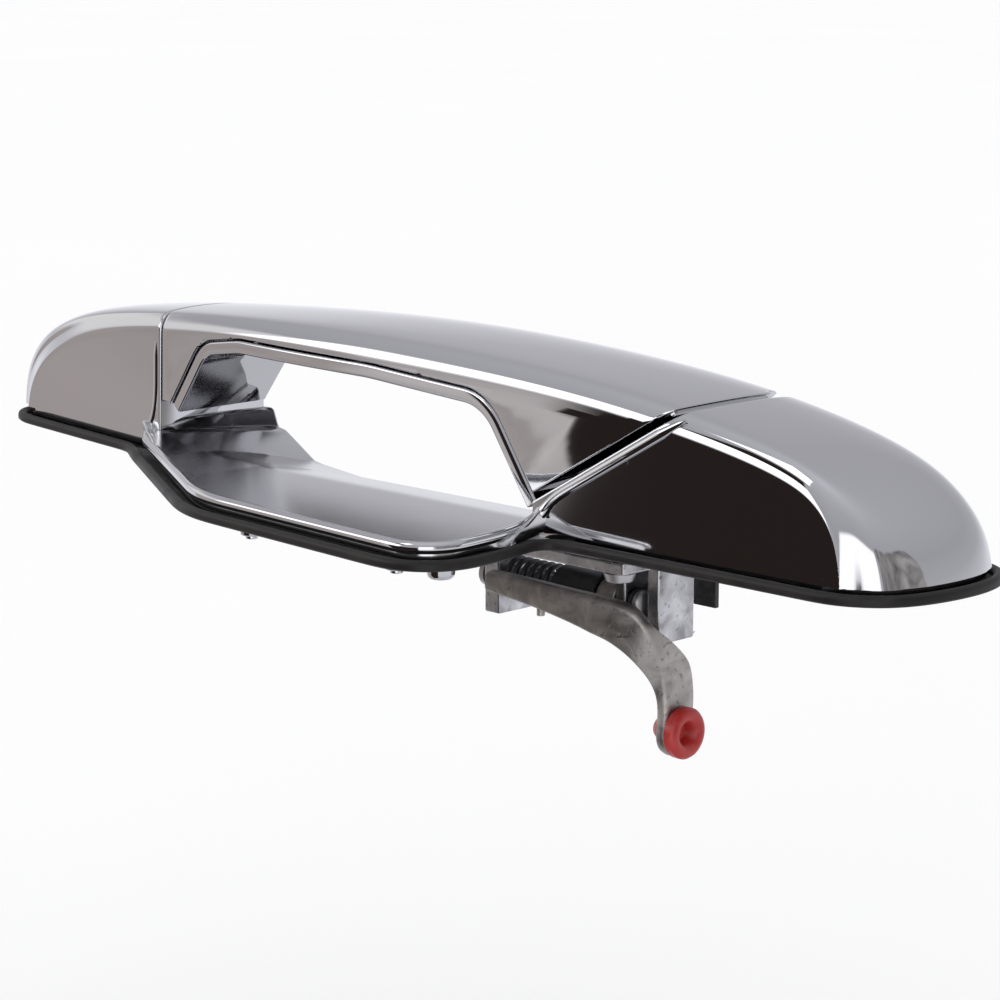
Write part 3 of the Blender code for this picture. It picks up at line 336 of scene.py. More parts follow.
@dataclass(frozen=True)
class Moulded:
    """Moulded plastic with a fine skin and paler worn patches."""

    name: str
    colour: Point3
    worn: Point3
    roughness: float

    def make(self) -> bpy.types.Material:
        """Build the material.

        Returns:
            The material.
        """
        bench = Bench(self.name)
        cloud = bench.ramp(bench.noise(420.0, 4.0, 0.6), ((0.42, 0.0), (0.75, 1.0)))
        skin = bench.noise(3200.0, 3.0)
        colour = bench.mix(cloud * 0.5, self.colour, self.worn)
        return bench.finish(Base_Color=colour, Roughness=cloud * 0.15 + self.roughness,
                            Normal=bench.bump(skin, 0.00003, 0.5))


CHROME = Chrome("bright_chrome")
INNER_CHROME = Chrome("scoop_chrome", polish=0.17, marks=1.6)
CAP_CHROME = Chrome("cap_chrome", draft=9000.0)
RUBBER = Rubber("gasket_rubber")
ZINC = Casting("bracket_zinc", (0.30, 0.30, 0.31), (0.72, 0.72, 0.74), 0.24, 0.45)
CRANK_METAL = Casting("crank_casting", (0.30, 0.28, 0.265), (0.62, 0.59, 0.565), 0.44, 0.85)
STEEL = Plated("plated_steel", (0.74, 0.74, 0.75), 0.42)
WIRE = Plated("oiled_wire", (0.12, 0.12, 0.125), 0.34)
BRASS = Plated("turned_brass", (0.71, 0.52, 0.26), 0.3)
BLACK_PLASTIC = Moulded("black_plastic", (0.012, 0.012, 0.013), (0.05, 0.05, 0.052), 0.38)
RED_PLASTIC = Moulded("red_plastic", (0.34, 0.011, 0.010), (0.44, 0.04, 0.03), 0.30)


@lru_cache(maxsize=None)
def material_of(finish: object) -> bpy.types.Material:
    """The one material of a finish."""
    return finish.make()


# ---------------------------------------------------------------- mesh helpers
FINE_MERGE = 0.0005
QUARTER = tuple(math.pi / 2 * step / 6 for step in range(7))


def wrap_grid(columns: int, rows: int, place: Place, merge: float = 0.01) -> bmesh.types.BMesh:
    """Bend a flat grid onto a surface.

    Args:
        columns: Cells along the surface.
        rows: Cells across it.
        place: Gives the point for shares from 0 to 1 along and across.
        merge: Points nearer than this are made one.

    Returns:
        The mesh, in millimetres.
    """
    bm = bmesh.new()
    bmesh.ops.create_grid(bm, x_segments=columns, y_segments=rows, size=0.5)
    for vert in bm.verts:
        along = round((vert.co.x + 0.5) * columns) / columns
        across = round((vert.co.y + 0.5) * rows) / rows
        vert.co = place(along, across)
    bmesh.ops.remove_doubles(bm, verts=bm.verts, dist=merge)
    return bm


def close_holes(bm: bmesh.types.BMesh) -> None:
    """Fill every open loop and turn the faces outwards."""
    edges = [edge for edge in bm.edges if edge.is_boundary]
    bmesh.ops.holes_fill(bm, edges=edges, sides=0)
    bmesh.ops.recalc_face_normals(bm, faces=bm.faces)


def edges_of(verts: Iterable[bmesh.types.BMVert]) -> list[bmesh.types.BMEdge]:
    """The edges that meet some points, each once and in a fixed order."""
    return list(dict.fromkeys(edge for vert in verts for edge in vert.link_edges))


def round_edges(bm: bmesh.types.BMesh, edges: list[bmesh.types.BMEdge], radius: float,
                segments: int = 3) -> None:
    """Round some edges of a mesh."""
    bmesh.ops.bevel(bm, geom=edges, offset=radius, offset_type="OFFSET", segments=segments,
                    profile=0.5, affect="EDGES", material=-1, clamp_overlap=True)


def cut_away(bm: bmesh.types.BMesh, point: Point3, side: Point3) -> None:
    """Cut off what lies past a plane, and merge the slivers left at the cut."""
    sliver = 0.12
    bmesh.ops.bisect_plane(bm, geom=[*bm.verts, *bm.edges, *bm.faces], dist=1e-5, plane_co=point,
                           plane_no=side, clear_outer=True)
    bmesh.ops.remove_doubles(bm, verts=bm.verts, dist=sliver)


def prism(outline: Iterable[Sequence[float]], shift: Point3) -> bmesh.types.BMesh:
    """A closed block from a flat outline and how far it is drawn out."""
    bm = bmesh.new()
    face = bm.faces.new([bm.verts.new(point) for point in outline])
    made = bmesh.ops.extrude_face_region(bm, geom=[face])
    moved = [v for v in made["geom"] if isinstance(v, bmesh.types.BMVert)]
    bmesh.ops.translate(bm, verts=moved, vec=shift)
    bmesh.ops.recalc_face_normals(bm, faces=bm.faces)
    return bm


def tube(path: Sequence[Vector], section: Sequence[Point2], lift: Vector = AXIS_Z,
         ends: float = 0.0) -> bmesh.types.BMesh:
    """Carry a closed section along a path.

    Args:
        path: Points of the path.
        section: Points of the section as (to the right of the path, up) pairs.
        lift: What up means.
        ends: Length over which both ends taper off.

    Returns:
        A closed mesh.
    """
    mitre_limit, tip_share = 0.5, 0.02
    sides = len(section)
    last = len(path) - 1
    step = (path[1] - path[0]).length
    frames = []
    for index, point in enumerate(path):
        before, after = path[max(index - 1, 0)], path[min(index + 1, last)]
        first = (point - before).normalized() if index else (after - point).normalized()
        second = (after - point).normalized() if index < last else first
        ahead = (first + second).normalized()
        right = ahead.cross(lift).normalized()
        mitre = max(right.dot(first.cross(lift).normalized()), mitre_limit)
        frames.append((point, right / mitre, right.cross(ahead).normalized()))

    def place(along: float, across: float) -> Vector:
        """Point of the section's side at a step of the path."""
        point, right, up = frames[round(along * last)]
        out, high = section[round(across * sides) % sides]
        swell = 1.0
        if ends:
            from_end = min(along, 1 - along) * last * step
            swell = math.sqrt(min(from_end / ends + tip_share, 1.0))
        return point + (right * out + up * high) * swell

    bm = wrap_grid(last, sides, place, FINE_MERGE)
    close_holes(bm)
    return bm


def round_section(radius: float, sides: int) -> list[Point2]:
    """A round section."""
    step = 2 * math.pi / sides
    return [(radius * math.cos(step * k), radius * math.sin(step * k)) for k in range(sides)]


def add_rod(bm: bmesh.types.BMesh, start: Sequence[float], end: Sequence[float], radius: float,
            edge: float = 0.3, segments: int = 48) -> None:
    """Add a cylinder with rounded ends.

    Args:
        bm: Mesh that takes it.
        start: Centre of one end.
        end: Centre of the other end.
        radius: Its radius.
        edge: Radius of its rounded rims.
        segments: Sides of the cylinder.
    """
    first, second = Vector(start), Vector(end)
    along = second - first
    turn = AXIS_Z.rotation_difference(along).to_matrix().to_4x4()
    made = bmesh.ops.create_cone(
        bm, cap_ends=True, segments=segments, radius1=radius, radius2=radius,
        depth=along.length, matrix=Matrix.Translation((first + second) / 2) @ turn)
    axis = along.normalized()
    round_edges(bm, [e for e in edges_of(made["verts"])
                     if abs((e.verts[0].co - e.verts[1].co).dot(axis)) < 1e-5], edge)


def add_block(bm: bmesh.types.BMesh, low: Sequence[float], high: Sequence[float],
              edge: float = 0.4) -> None:
    """Add a box with rounded edges.

    Args:
        bm: Mesh that takes it.
        low: Lowest corner.
        high: Highest corner.
        edge: Radius of its edges.
    """
    centre = (Vector(low) + Vector(high)) / 2
    size = Matrix.Diagonal((*(Vector(high) - Vector(low)), 1.0))
    made = bmesh.ops.create_cube(bm, size=1.0, matrix=Matrix.Translation(centre) @ size)
    round_edges(bm, edges_of(made["verts"]), edge)


def spun(profile: Sequence[Point2], centre: Vector, axis: Vector, out: Vector,
         closed: bool = False, steps: int = 64) -> bmesh.types.BMesh:
    """Turn a profile round an axis.

    Args:
        profile: Points of the profile as (along the axis, away from it) pairs.
        centre: The point on the axis that the profile starts from.
        axis: Direction of the axis.
        out: Direction in which the profile lies.
        closed: Whether the profile joins up with itself.
        steps: Steps of the full turn.

    Returns:
        The turned mesh.
    """
    bm = bmesh.new()
    verts = [bm.verts.new(centre + axis * along + out * away) for along, away in profile]
    pairs = zip(verts, verts[1:] + verts[:1] if closed else verts[1:])
    edges = [bm.edges.new(pair) for pair in pairs]
    bmesh.ops.spin(bm, geom=[*verts, *edges], cent=centre, axis=axis, angle=2 * math.pi,
                   steps=steps, use_merge=True)
    bmesh.ops.remove_doubles(bm, verts=bm.verts, dist=0.002)
    bmesh.ops.recalc_face_normals(bm, faces=bm.faces)
    return bm


def make_object(bm: bmesh.types.BMesh, name: str, sharp: float = 34.0) -> bpy.types.Object:
    """Turn a millimetre mesh into an object at the origin, shaded smooth."""
    bmesh.ops.scale(bm, verts=bm.verts, vec=(MM, MM, MM))
    mesh = bpy.data.meshes.new(name)
    bm.to_mesh(mesh)
    bm.free()
    mesh.shade_smooth()
    mesh.set_sharp_from_angle(angle=math.radians(sharp))
    made = bpy.data.objects.new(name, mesh)
    bpy.context.scene.collection.objects.link(made)
    return made


def thicken(piece: bpy.types.Object, wall: float) -> None:
    """Give an open skin its wall, towards the inside."""
    solid = piece.modifiers.new("wall", "SOLIDIFY")
    solid.thickness = wall * MM
    solid.offset = -1.0
    solid.use_even_offset = False


def soften(piece: bpy.types.Object, width: float, segments: int = 3,
           angle: float = 38.0) -> None:
    """Round the sharp edges of a piece."""
    bevel = piece.modifiers.new("edges", "BEVEL")
    bevel.width = width * MM
    bevel.segments = segments
    bevel.limit_method = "ANGLE"
    bevel.angle_limit = math.radians(angle)
    bevel.use_clamp_overlap = False
    bevel.miter_outer = "MITER_ARC"
    bevel.harden_normals = False


def settle(piece: bpy.types.Object, sharp: float = 34.0) -> None:
    """Apply a piece's modifiers and drop what they referred to."""
    bpy.context.view_layer.update()
    graph = bpy.context.evaluated_depsgraph_get()
    mesh = bpy.data.meshes.new_from_object(piece.evaluated_get(graph))
    tools = [m.object for m in piece.modifiers if m.type == "BOOLEAN"]
    piece.modifiers.clear()
    piece.data = mesh
    for tool in tools:
        bpy.data.objects.remove(tool)
    mesh.shade_smooth()
    mesh.set_sharp_from_angle(angle=math.radians(sharp))


def tidy(piece: bpy.types.Object, shortest: float) -> None:
    """Dissolve the slivers that a cut leaves along its edge."""
    flat = math.radians(0.05)
    bm = bmesh.new()
    bm.from_mesh(piece.data)
    bmesh.ops.dissolve_degenerate(bm, dist=shortest * MM, edges=bm.edges)
    bmesh.ops.dissolve_limit(bm, angle_limit=flat, verts=bm.verts, edges=bm.edges)
    bm.to_mesh(piece.data)
    bm.free()


def carve(piece: bpy.types.Object, *tools: bpy.types.Object) -> None:
    """Cut closed tools out of a piece."""
    for tool in tools:
        modifier = piece.modifiers.new("cut", "BOOLEAN")
        modifier.operation = "DIFFERENCE"
        modifier.solver = "MANIFOLD"
        modifier.object = tool


def hand_over(piece: bpy.types.Object, body: Body, finish: object,
              nodes: Iterable[str] = ()) -> bpy.types.Object:
    """Dress a piece and put it on its body.

    Args:
        piece: The finished piece.
        body: The body it rides on.
        finish: Its finish.
        nodes: The CAD nodes that it stands for.

    Returns:
        The piece.
    """
    piece.data.materials.clear()
    piece.data.materials.append(material_of(finish))
    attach(piece, body.value)
    if nodes:
        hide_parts(*nodes)
    log.info("made %s on %s", piece.name, body.value)
    return piece


# ---------------------------------------------------------------- plane curves
def rounded(corners: Sequence[Sequence[float]], radii: Sequence[float], steps: int = 12) -> Line:
    """Round the inner corners of an open line in a plane.

    Args:
        corners: Its corners.
        radii: Radius at each inner corner.
        steps: Steps of each arc.

    Returns:
        The points of the rounded line.
    """
    points = [Vector(corner) for corner in corners]
    result = [points[0]]
    for before, corner, after, radius in zip(points, points[1:], points[2:], radii):
        back = (before - corner).normalized()
        ahead = (after - corner).normalized()
        half = back.angle(ahead) / 2
        centre = corner + (back + ahead).normalized() * radius / math.sin(half)
        start = corner + back * radius / math.tan(half) - centre
        end = corner + ahead * radius / math.tan(half) - centre
        turn = start.angle_signed(end)
        for step in range(steps + 1):
            arm = start.copy()
            arm.rotate(Matrix.Rotation(-turn * step / steps, 2))
            result.append(centre + arm)
    result.append(points[-1])
    return result


def spaced(points: Sequence[Vector], count: int) -> Line:
    """Evenly spaced points along an open line, its ends included."""
    lengths = [0.0]
    for before, after in zip(points, points[1:]):
        lengths.append(lengths[-1] + (after - before).length)
    result = []
    span = 0
    for step in range(count):
        want = lengths[-1] * step / (count - 1)
        while span < len(points) - 2 and lengths[span + 1] < want:
            span += 1
        share = (want - lengths[span]) / max(lengths[span + 1] - lengths[span], 1e-9)
        result.append(points[span].lerp(points[span + 1], share))
    return result


def eased(points: Sequence[Vector], passes: int) -> Line:
    """Smooth an open line by averaging neighbours, with its ends held."""
    line = [point.copy() for point in points]
    for _ in range(passes):
        middle = [(a + 2 * b + c) / 4 for a, b, c in zip(line, line[1:], line[2:])]
        line = [line[0], *middle, line[-1]]
    return line


def shifted(points: Sequence[Vector], distance: float) -> Line:
    """Move an open line in a plane to its left."""
    result = []
    last = len(points) - 1
    for index, point in enumerate(points):
        ahead = points[min(index + 1, last)] - points[max(index - 1, 0)]
        left = Vector((-ahead.y, ahead.x)).normalized()
        result.append(point + left * distance)
    return result


# ---------------------------------------------------------------- body skin
@dataclass(frozen=True)
class BodySkin:
    """The smooth outer skin that the caps and the handle bar share.

    Three lines in X and Z (crest, top and far side) carry rings that run from the front
    base over the crest and the top to the far base.
    """

    width: float = 42.0
    front_face: float = 3.0
    skew: float = 0.145
    skew_start: float = -25.0
    skew_soft: float = 16.0
    lean: float = 1.2
    height: float = 39.6
    crest_drop: float = 2.6
    crest_step: float = 1.8
    crest_hold: float = 2.2
    top_share: float = 0.6
    top_parts: tuple[float, ...] = (0.08, 0.25, 0.55, 1.0)
    far_parts: tuple[float, ...] = (0.45, 0.75, 0.93)
    far_height: float = 0.93
    far_hold: float = 2.5
    front: tuple[Point2, ...] = (
        (-149.0, 0.0), (-149.0, 6.0), (-146.5, 13.0), (-140.0, 19.5), (-130.0, 24.6),
        (-116.0, 29.6), (-97.0, 33.3), (-60.0, 36.8), (-25.0, 38.0), (5.0, 37.7),
        (35.0, 37.0), (65.0, 35.4), (90.0, 32.8), (112.0, 29.3), (126.0, 26.0),
        (134.0, 22.5), (139.5, 16.5), (142.0, 9.0), (142.5, 0.0))
    middle: tuple[Point2, ...] = (
        (-154.0, 0.0), (-154.0, 7.5), (-152.0, 15.5), (-146.0, 22.3), (-136.0, 27.5),
        (-120.0, 32.0), (-95.0, 35.2), (-60.0, 37.6), (-25.0, 39.2), (5.0, 39.6),
        (35.0, 38.7), (65.0, 36.6), (90.0, 33.8), (112.0, 29.8), (128.0, 25.6),
        (139.0, 20.8), (147.0, 14.5), (151.0, 8.0), (152.5, 0.0))
    back: tuple[Point2, ...] = (
        (-148.0, 0.0), (-148.0, 6.5), (-145.5, 13.0), (-139.0, 19.0), (-129.0, 24.0),
        (-115.0, 28.5), (-92.0, 32.0), (-60.0, 34.0), (-25.0, 35.2), (5.0, 35.5),
        (35.0, 34.6), (65.0, 32.6), (88.0, 30.0), (108.0, 26.2), (122.0, 22.3),
        (132.0, 17.8), (138.5, 12.0), (142.0, 6.5), (143.0, 0.0))

    def face_y(self, x: float) -> float:
        """Y of the front face at the base: flat on the right, running back to the left."""
        bend = math.log(1 + math.exp((self.skew_start - x) / self.skew_soft))
        return self.front_face + self.skew * self.skew_soft * bend

    def wall_y(self, x: float, z: float) -> float:
        """Y of the leaning front face at a point of it."""
        return self.face_y(x) + self.lean * z / self.height

    def _rings(self) -> list[Line]:
        """Control rings, one for each point of the lines."""
        lines = (self.front, self.middle, self.back)
        front, middle, back = ([Vector(point) for point in line] for line in lines)
        low = shifted(front, -self.crest_drop)
        low[0] = Vector((front[0].x + self.crest_drop, 0.0))
        low[-1] = Vector((front[-1].x - self.crest_drop, 0.0))
        far_y = self.front_face + self.width
        top_y = self.front_face + self.width * self.top_share
        rings = []
        for f, l, m, b in zip(front, low, middle, back):
            high = max(l.y, 0.0)
            hold = max(high - self.crest_hold, 0.0)
            ring = [Vector((l.x, self.wall_y(l.x, z), z)) for z in (0.0, hold / 2, hold, high)]
            crest_y = self.wall_y(f.x, f.y) + self.crest_step
            ring.append(Vector((f.x, crest_y, f.y)))
            for part in self.top_parts:
                point = f.lerp(m, math.sqrt(1 - (1 - part) ** 2))
                ring.append(Vector((point.x, crest_y + (top_y - crest_y) * part, point.y)))
            for part in self.far_parts:
                point = m.lerp(b, 1 - math.sqrt(1 - part ** 2))
                ring.append(Vector((point.x, top_y + (far_y - top_y) * part, point.y)))
            side = b.y * self.far_height
            ring.extend(Vector((b.x, far_y, z))
                        for z in (side, max(side - self.far_hold, 0.0), side / 2, 0.0))
            rings.append(ring)
        return rings

    @staticmethod
    def _weights(share: float, spans: int) -> tuple[int, tuple[float, float, float, float]]:
        """First control and the four cubic weights at a share of a clamped spline."""
        place = min(max(share, 0.0), 1.0) * spans
        first = min(int(place), spans - 1)
        t = place - first
        return first, ((1 - t) ** 3 / 6, (3 * t ** 3 - 6 * t ** 2 + 4) / 6,
                       (-3 * t ** 3 + 3 * t ** 2 + 3 * t + 1) / 6, t ** 3 / 6)

    @lru_cache(maxsize=4)
    def _net(self) -> tuple[tuple[Vector, ...], ...]:
        """The control rings with their ends doubled up, so the skin reaches them."""
        rings = [[ring[0]] * 2 + ring + [ring[-1]] * 2 for ring in self._rings()]
        rings = [rings[0]] * 2 + rings + [rings[-1]] * 2
        return tuple(tuple(ring) for ring in rings)

    @lru_cache(maxsize=400000)
    def _row(self, around: float) -> tuple[Vector, ...]:
        """One control line along the body, at a share of the way round."""
        net = self._net()
        first, weights = self._weights(around, len(net[0]) - 3)
        return tuple(sum((ring[first + k] * weights[k] for k in range(4)), Vector((0, 0, 0)))
                     for ring in net)

    def point(self, along: float, around: float) -> Vector:
        """A point of the skin.

        Args:
            along: Share of the way from the left tip to the right tip.
            around: Share of the way from the front base to the far base.

        Returns:
            The point, in millimetres.
        """
        row = self._row(around)
        first, weights = self._weights(along, len(row) - 3)
        return sum((row[first + k] * weights[k] for k in range(4)), Vector((0, 0, 0)))

    def along_at(self, around: float, beyond: Callable[[Vector], float]) -> float:
        """Share along a row where a test changes sign from negative to positive."""
        low, high = 0.0, 1.0
        halvings = 34
        for _ in range(halvings):
            middle = (low + high) / 2
            if beyond(self.point(middle, around)) < 0:
                low = middle
            else:
                high = middle
        return (low + high) / 2

    def base_outline(self, start_x: float, left: bool, count: int = 90) -> Line:
        """Plan of one cap's base from its front at start_x round the tip to the far side."""
        shortest = 0.3
        tip = 0.0 if left else 1.0
        fore = self.along_at(0.0, lambda p: p.x - start_x)
        aft = self.along_at(1.0, lambda p: p.x - start_x)
        line = [self.point(fore + (tip - fore) * k / count, 0.0) for k in range(count)]
        line += [self.point(tip, k / count) for k in range(count)]
        line += [self.point(tip + (aft - tip) * k / count, 1.0) for k in range(count + 1)]
        flat = [line[0].xy]
        for point in line[1:]:
            if (point.xy - flat[-1]).length > shortest:
                flat.append(point.xy)
        return flat


SKIN = BodySkin()
WALL_ROWS = 1
SKIN_ROWS = 76
WALL_SHARE = 3.0 / 17.0


def row_share(across: float) -> float:
    """Share round the skin for a row: one tall row on the front wall, fine rows past it."""
    row = round(across * SKIN_ROWS)
    if row <= WALL_ROWS:
        return WALL_SHARE * row / WALL_ROWS
    return WALL_SHARE + (1 - WALL_SHARE) * (row - WALL_ROWS) / (SKIN_ROWS - WALL_ROWS)


@dataclass(frozen=True)
class Parting:
    """The two planes where the handle bar meets the caps."""

    left_x: float = -78.6
    right_x: float = 58.6
    right_z: float = 9.3
    slope: float = 0.575
    gap_left: float = 1.0
    gap_right: float = 1.6
    sill_x: float = 57.4
    tolerance: float = 0.02
    slant_tolerance: float = 0.15

    @property
    def slant(self) -> float:
        """Shift along X for one unit square to the right plane."""
        return math.sqrt(1 + 1 / self.slope ** 2)

    def right_at(self, z: float, gap: float = 0.0) -> float:
        """X of the right plane at a height, drawn back by a gap."""
        return self.right_x + (z - self.right_z) / self.slope - gap * self.slant


PARTING = Parting()


# ---------------------------------------------------------------- chrome body
def skin_patch(columns: int, start: Callable[[Vector], float] | None,
               stop: Callable[[Vector], float] | None) -> bmesh.types.BMesh:
    """A sheet of the body skin between two ends.

    Args:
        columns: Cells along the sheet.
        start: Test that turns positive at the sheet's left end, or None for the left tip.
        stop: The same for its right end, or None for the right tip.

    Returns:
        The sheet.
    """
    ends: dict[float, tuple[float, float]] = {}

    def place(along: float, across: float) -> Vector:
        """Point of the sheet."""
        around = row_share(across)
        if around not in ends:
            ends[around] = (SKIN.along_at(around, start) if start else 0.0,
                            SKIN.along_at(around, stop) if stop else 1.0)
        first, last = ends[around]
        return SKIN.point(first + (last - first) * along, around)

    bm = wrap_grid(columns, SKIN_ROWS, place)
    bmesh.ops.recalc_face_normals(bm, faces=bm.faces)
    return bm


def close_end(bm: bmesh.types.BMesh, on_end: Callable[[Vector], bool], edge: float = 0.0) -> None:
    """Fill the open end of a sheet whose edge points pass a test, and round its edge."""
    chain = [e for e in bm.edges if e.is_boundary and all(on_end(v.co) for v in e.verts)]
    used = [v for e in chain for v in e.verts]
    tips = [v for v in used if used.count(v) == 1]
    rim = list(chain)
    if len(tips) == 2:
        chain.append(bm.edges.get(tips) or bm.edges.new(tips))
    bmesh.ops.edgeloop_fill(bm, edges=chain)
    bmesh.ops.recalc_face_normals(bm, faces=bm.faces)
    if edge:
        round_edges(bm, rim, edge, 4)


@dataclass
class Housing:
    """Caps, scoop, bead and the castings under them."""

    wall: float = 1.7
    foot_left: float = 3.6
    foot_right: float = 2.6
    edge: float = 0.55
    columns_left: int = 150
    columns_right: int = 190
    rim_setback: float = 8.4
    rim_left: Point2 = (-16.0, 6.0)
    rim_right: Point2 = (64.6, -0.4)
    rim_back: Point2 = (62.4, 22.0)
    rim_end: Point2 = (0.8, 0.6)
    rim_radii: Point3 = (44.0, 9.0, 14.0)
    bead_radius: float = 1.6
    bead_drawn: float = 1.3
    bead_lift: float = 0.7
    bead_inset: float = 0.2
    bead_ends: float = 7.0
    bead_top_left: float = 0.8
    bead_top_right: float = 0.77
    bead_sink: float = 1.0
    bead_bend_z: float = 14.0
    bead_elbow: tuple[Point3, ...] = ((-1.2, 0.2, 8.4), (-4.0, 0.4, 5.4))
    bead_sill: Point3 = (2.2, 0.2, 5.6)
    bead_foot_z: float = 10.0
    floor_z: float = 3.2
    floor_thick: float = 2.3
    floor_far_y: float = 38.0
    floor_drop: float = 6.2
    floor_bend_y: float = 8.0
    floor_sag: float = 1.3
    floor_edge: float = 0.4
    floor_columns: int = 150
    floor_rows: int = 48
    floor_left: float = 8.6
    bowl_depth: float = 37.0
    ledge_left: Point2 = (8.0, 10.4)
    ledge_right: float = 7.2
    left_share: float = 0.28
    climb: tuple[Point2, ...] = ((0.0, 1.0), (0.09, 1.0), (0.14, 0.66), (0.22, 0.62), (0.52, 0.14),
                                 (0.62, 0.1), (1.0, 0.0))
    right_share: float = 0.1
    pad: tuple[Point3, Point3] = ((-16.0, -12.5, 0.0), (16.0, 5.5, 2.0))
    shelf: tuple[Point3, Point3] = ((58.4, 4.2, 0.8), (86.0, 19.0, 3.4))
    pegs: tuple[Point2, ...] = ((-10.0, -17.5), (39.0, -19.0))
    peg_radius: float = 2.6
    peg_tip_radius: float = 1.4
    peg_tip_z: float = -6.4
    stud: Point2 = (52.5, -19.0)
    stud_radius: float = 3.0
    stud_edge: float = 1.3
    root_z: float = 1.8
    shoulder_z: float = -5.6
    bracket_screws: tuple[Point2, ...] = ((38.0, 12.0), (75.0, 11.5))
    boss_radius: float = 4.4
    boss_span: Point2 = (2.2, -2.1)
    inserts: tuple[Point2, ...] = ((-118.0, 30.0), (112.0, 26.0))
    post_radius: float = 6.6
    post_bore: float = 4.5
    post_foot_z: float = 1.0
    post_bore_top_z: float = 12.4
    post_top_z: float = 28.0
    flange_seat: float = 0.8
    flange_overlap: float = 1.4
    flange_inset: float = 4.2
    flange_half: float = 2.9
    flange_steps: int = 150

    def _keep(self, bm: bmesh.types.BMesh, name: str, finish: Chrome = CHROME) -> bpy.types.Object:
        """Make an object of a mesh and hand it over as part of the housing."""
        return hand_over(make_object(bm, name), Body.BASE, finish, ["housing"])

    def make_left_cap(self) -> None:
        """Make the left cap."""
        bm = skin_patch(self.columns_left, None, lambda p: p.x - PARTING.left_x)
        cut_away(bm, (0, 0, self.foot_left), (0, 0, -1))
        close_end(bm, lambda co: abs(co.x - PARTING.left_x) < PARTING.tolerance, self.edge)
        cap = self._keep(bm, "cap_left")
        thicken(cap, self.wall)
        settle(cap)

    def make_right_cap(self) -> None:
        """Make the right cap, which ends on the slanted plane and on a low upright sill."""
        above_corner = 0.1
        bm = skin_patch(self.columns_right, lambda p: p.x - PARTING.right_at(p.z), None)
        cut_away(bm, (0, 0, self.foot_right), (0, 0, -1))
        cut_away(bm, (PARTING.sill_x, 0, 0), (-1, 0, 0))
        low_z = PARTING.right_z + (PARTING.sill_x - PARTING.right_x) * PARTING.slope - above_corner
        close_end(bm, lambda co: abs(co.x - PARTING.right_at(co.z)) < PARTING.slant_tolerance
                  and co.z > low_z, self.edge)
        close_end(bm, lambda co: co.x < PARTING.sill_x + PARTING.tolerance)
        cap = self._keep(bm, "cap_right", CAP_CHROME)
        thicken(cap, self.wall)
        settle(cap)

    def rim(self, count: int) -> Line:
        """Plan of the scoop's front rim, from the left cap round to the right cap."""
        deep_y = SKIN.front_face - self.bowl_depth
        start_x = PARTING.left_x - self.rim_setback
        front = [(x, deep_y + y) for x, y in (self.rim_left, self.rim_right, self.rim_back)]
        end = (PARTING.sill_x + self.rim_end[0], SKIN.front_face + self.rim_end[1])
        return spaced(rounded(((start_x, SKIN.face_y(start_x)), *front, end), self.rim_radii), count)

    def _climb(self, place: float) -> float:
        """Height of the stepped left wall, as a share of the ledge's, at a share of its run."""
        for (start, high), (end, low) in zip(self.climb, self.climb[1:]):
            if place <= end:
                return high + (low - high) * (place - start) / (end - start)
        return 0.0

    def _scoop_z(self, share: float, y: float, row: float) -> float:
        """Height of the scoop's top at a share along the rim and a share back from it."""
        base = self.floor_z
        if y > self.floor_bend_y:
            back = (y - self.floor_bend_y) / (self.floor_far_y - self.floor_bend_y)
            base -= self.floor_drop * back ** self.floor_sag
        if share < self.left_share:
            near, far = self.ledge_left
            return base + (near + (far - near) * row - base) * self._climb(share / self.left_share)
        if share > 1 - self.right_share:
            rise = ((share - 1 + self.right_share) / self.right_share) ** 2
            return base + (self.ledge_right - base) * rise
        return base

    def make_scoop(self) -> None:
        """Make the scoop's floor with its climbing left wall."""
        columns = self.floor_columns
        rim = self.rim(columns + 1)
        far_left = Vector((PARTING.left_x + self.floor_left, self.floor_far_y))
        far_right = Vector((PARTING.sill_x + self.rim_end[0], self.floor_far_y))

        def place(along: float, across: float) -> Vector:
            """Point of the scoop's top."""
            near = rim[round(along * columns)]
            spot = near.lerp(far_left.lerp(far_right, along), across)
            return Vector((*spot, self._scoop_z(along, spot.y, across)))

        bm = wrap_grid(columns, self.floor_rows, place)
        bmesh.ops.recalc_face_normals(bm, faces=bm.faces)
        if sum(face.normal.z for face in bm.faces) < 0:
            bmesh.ops.reverse_faces(bm, faces=bm.faces)
        scoop = self._keep(bm, "scoop", INNER_CHROME)
        thicken(scoop, self.floor_thick)
        soften(scoop, self.floor_edge)

    def bead_path(self) -> Line:
        """Centre of the bead: down the left parting line, round the rim, up the right one."""
        ends_cut, steps, passes = 2, 420, 26
        lean = SKIN.lean / SKIN.height
        inset = self.bead_radius + self.bead_inset
        left_x = PARTING.left_x - inset
        left_y = SKIN.face_y(left_x) + self.bead_sink
        left = [(left_x, left_y + lean * z, z)
                for z in (SKIN.height * self.bead_top_left, self.bead_bend_z)]
        left += [(left_x + x, left_y + y, z) for x, y, z in self.bead_elbow]
        level = self.floor_z + self.bead_lift
        rim = [(p.x, p.y, level) for p in self.rim(60)[ends_cut:-ends_cut]]
        x, y, z = self.bead_sill
        sill = (PARTING.sill_x + x, SKIN.front_face + y, z)
        right = [(PARTING.right_at(z) + inset * PARTING.slant,
                  SKIN.front_face + self.rim_end[1] + lean * z, z)
                 for z in (self.bead_foot_z, SKIN.height * self.bead_top_right)]
        path = [Vector(p) for p in (*left, *rim, sill, *right)]
        return eased(spaced(path, steps), passes)

    def make_bead(self) -> None:
        """Make the bead, with its two ends drawn down into the skin."""
        section = round_section(self.bead_drawn, 24)
        self._keep(tube(self.bead_path(), section, ends=self.bead_ends), "bead")

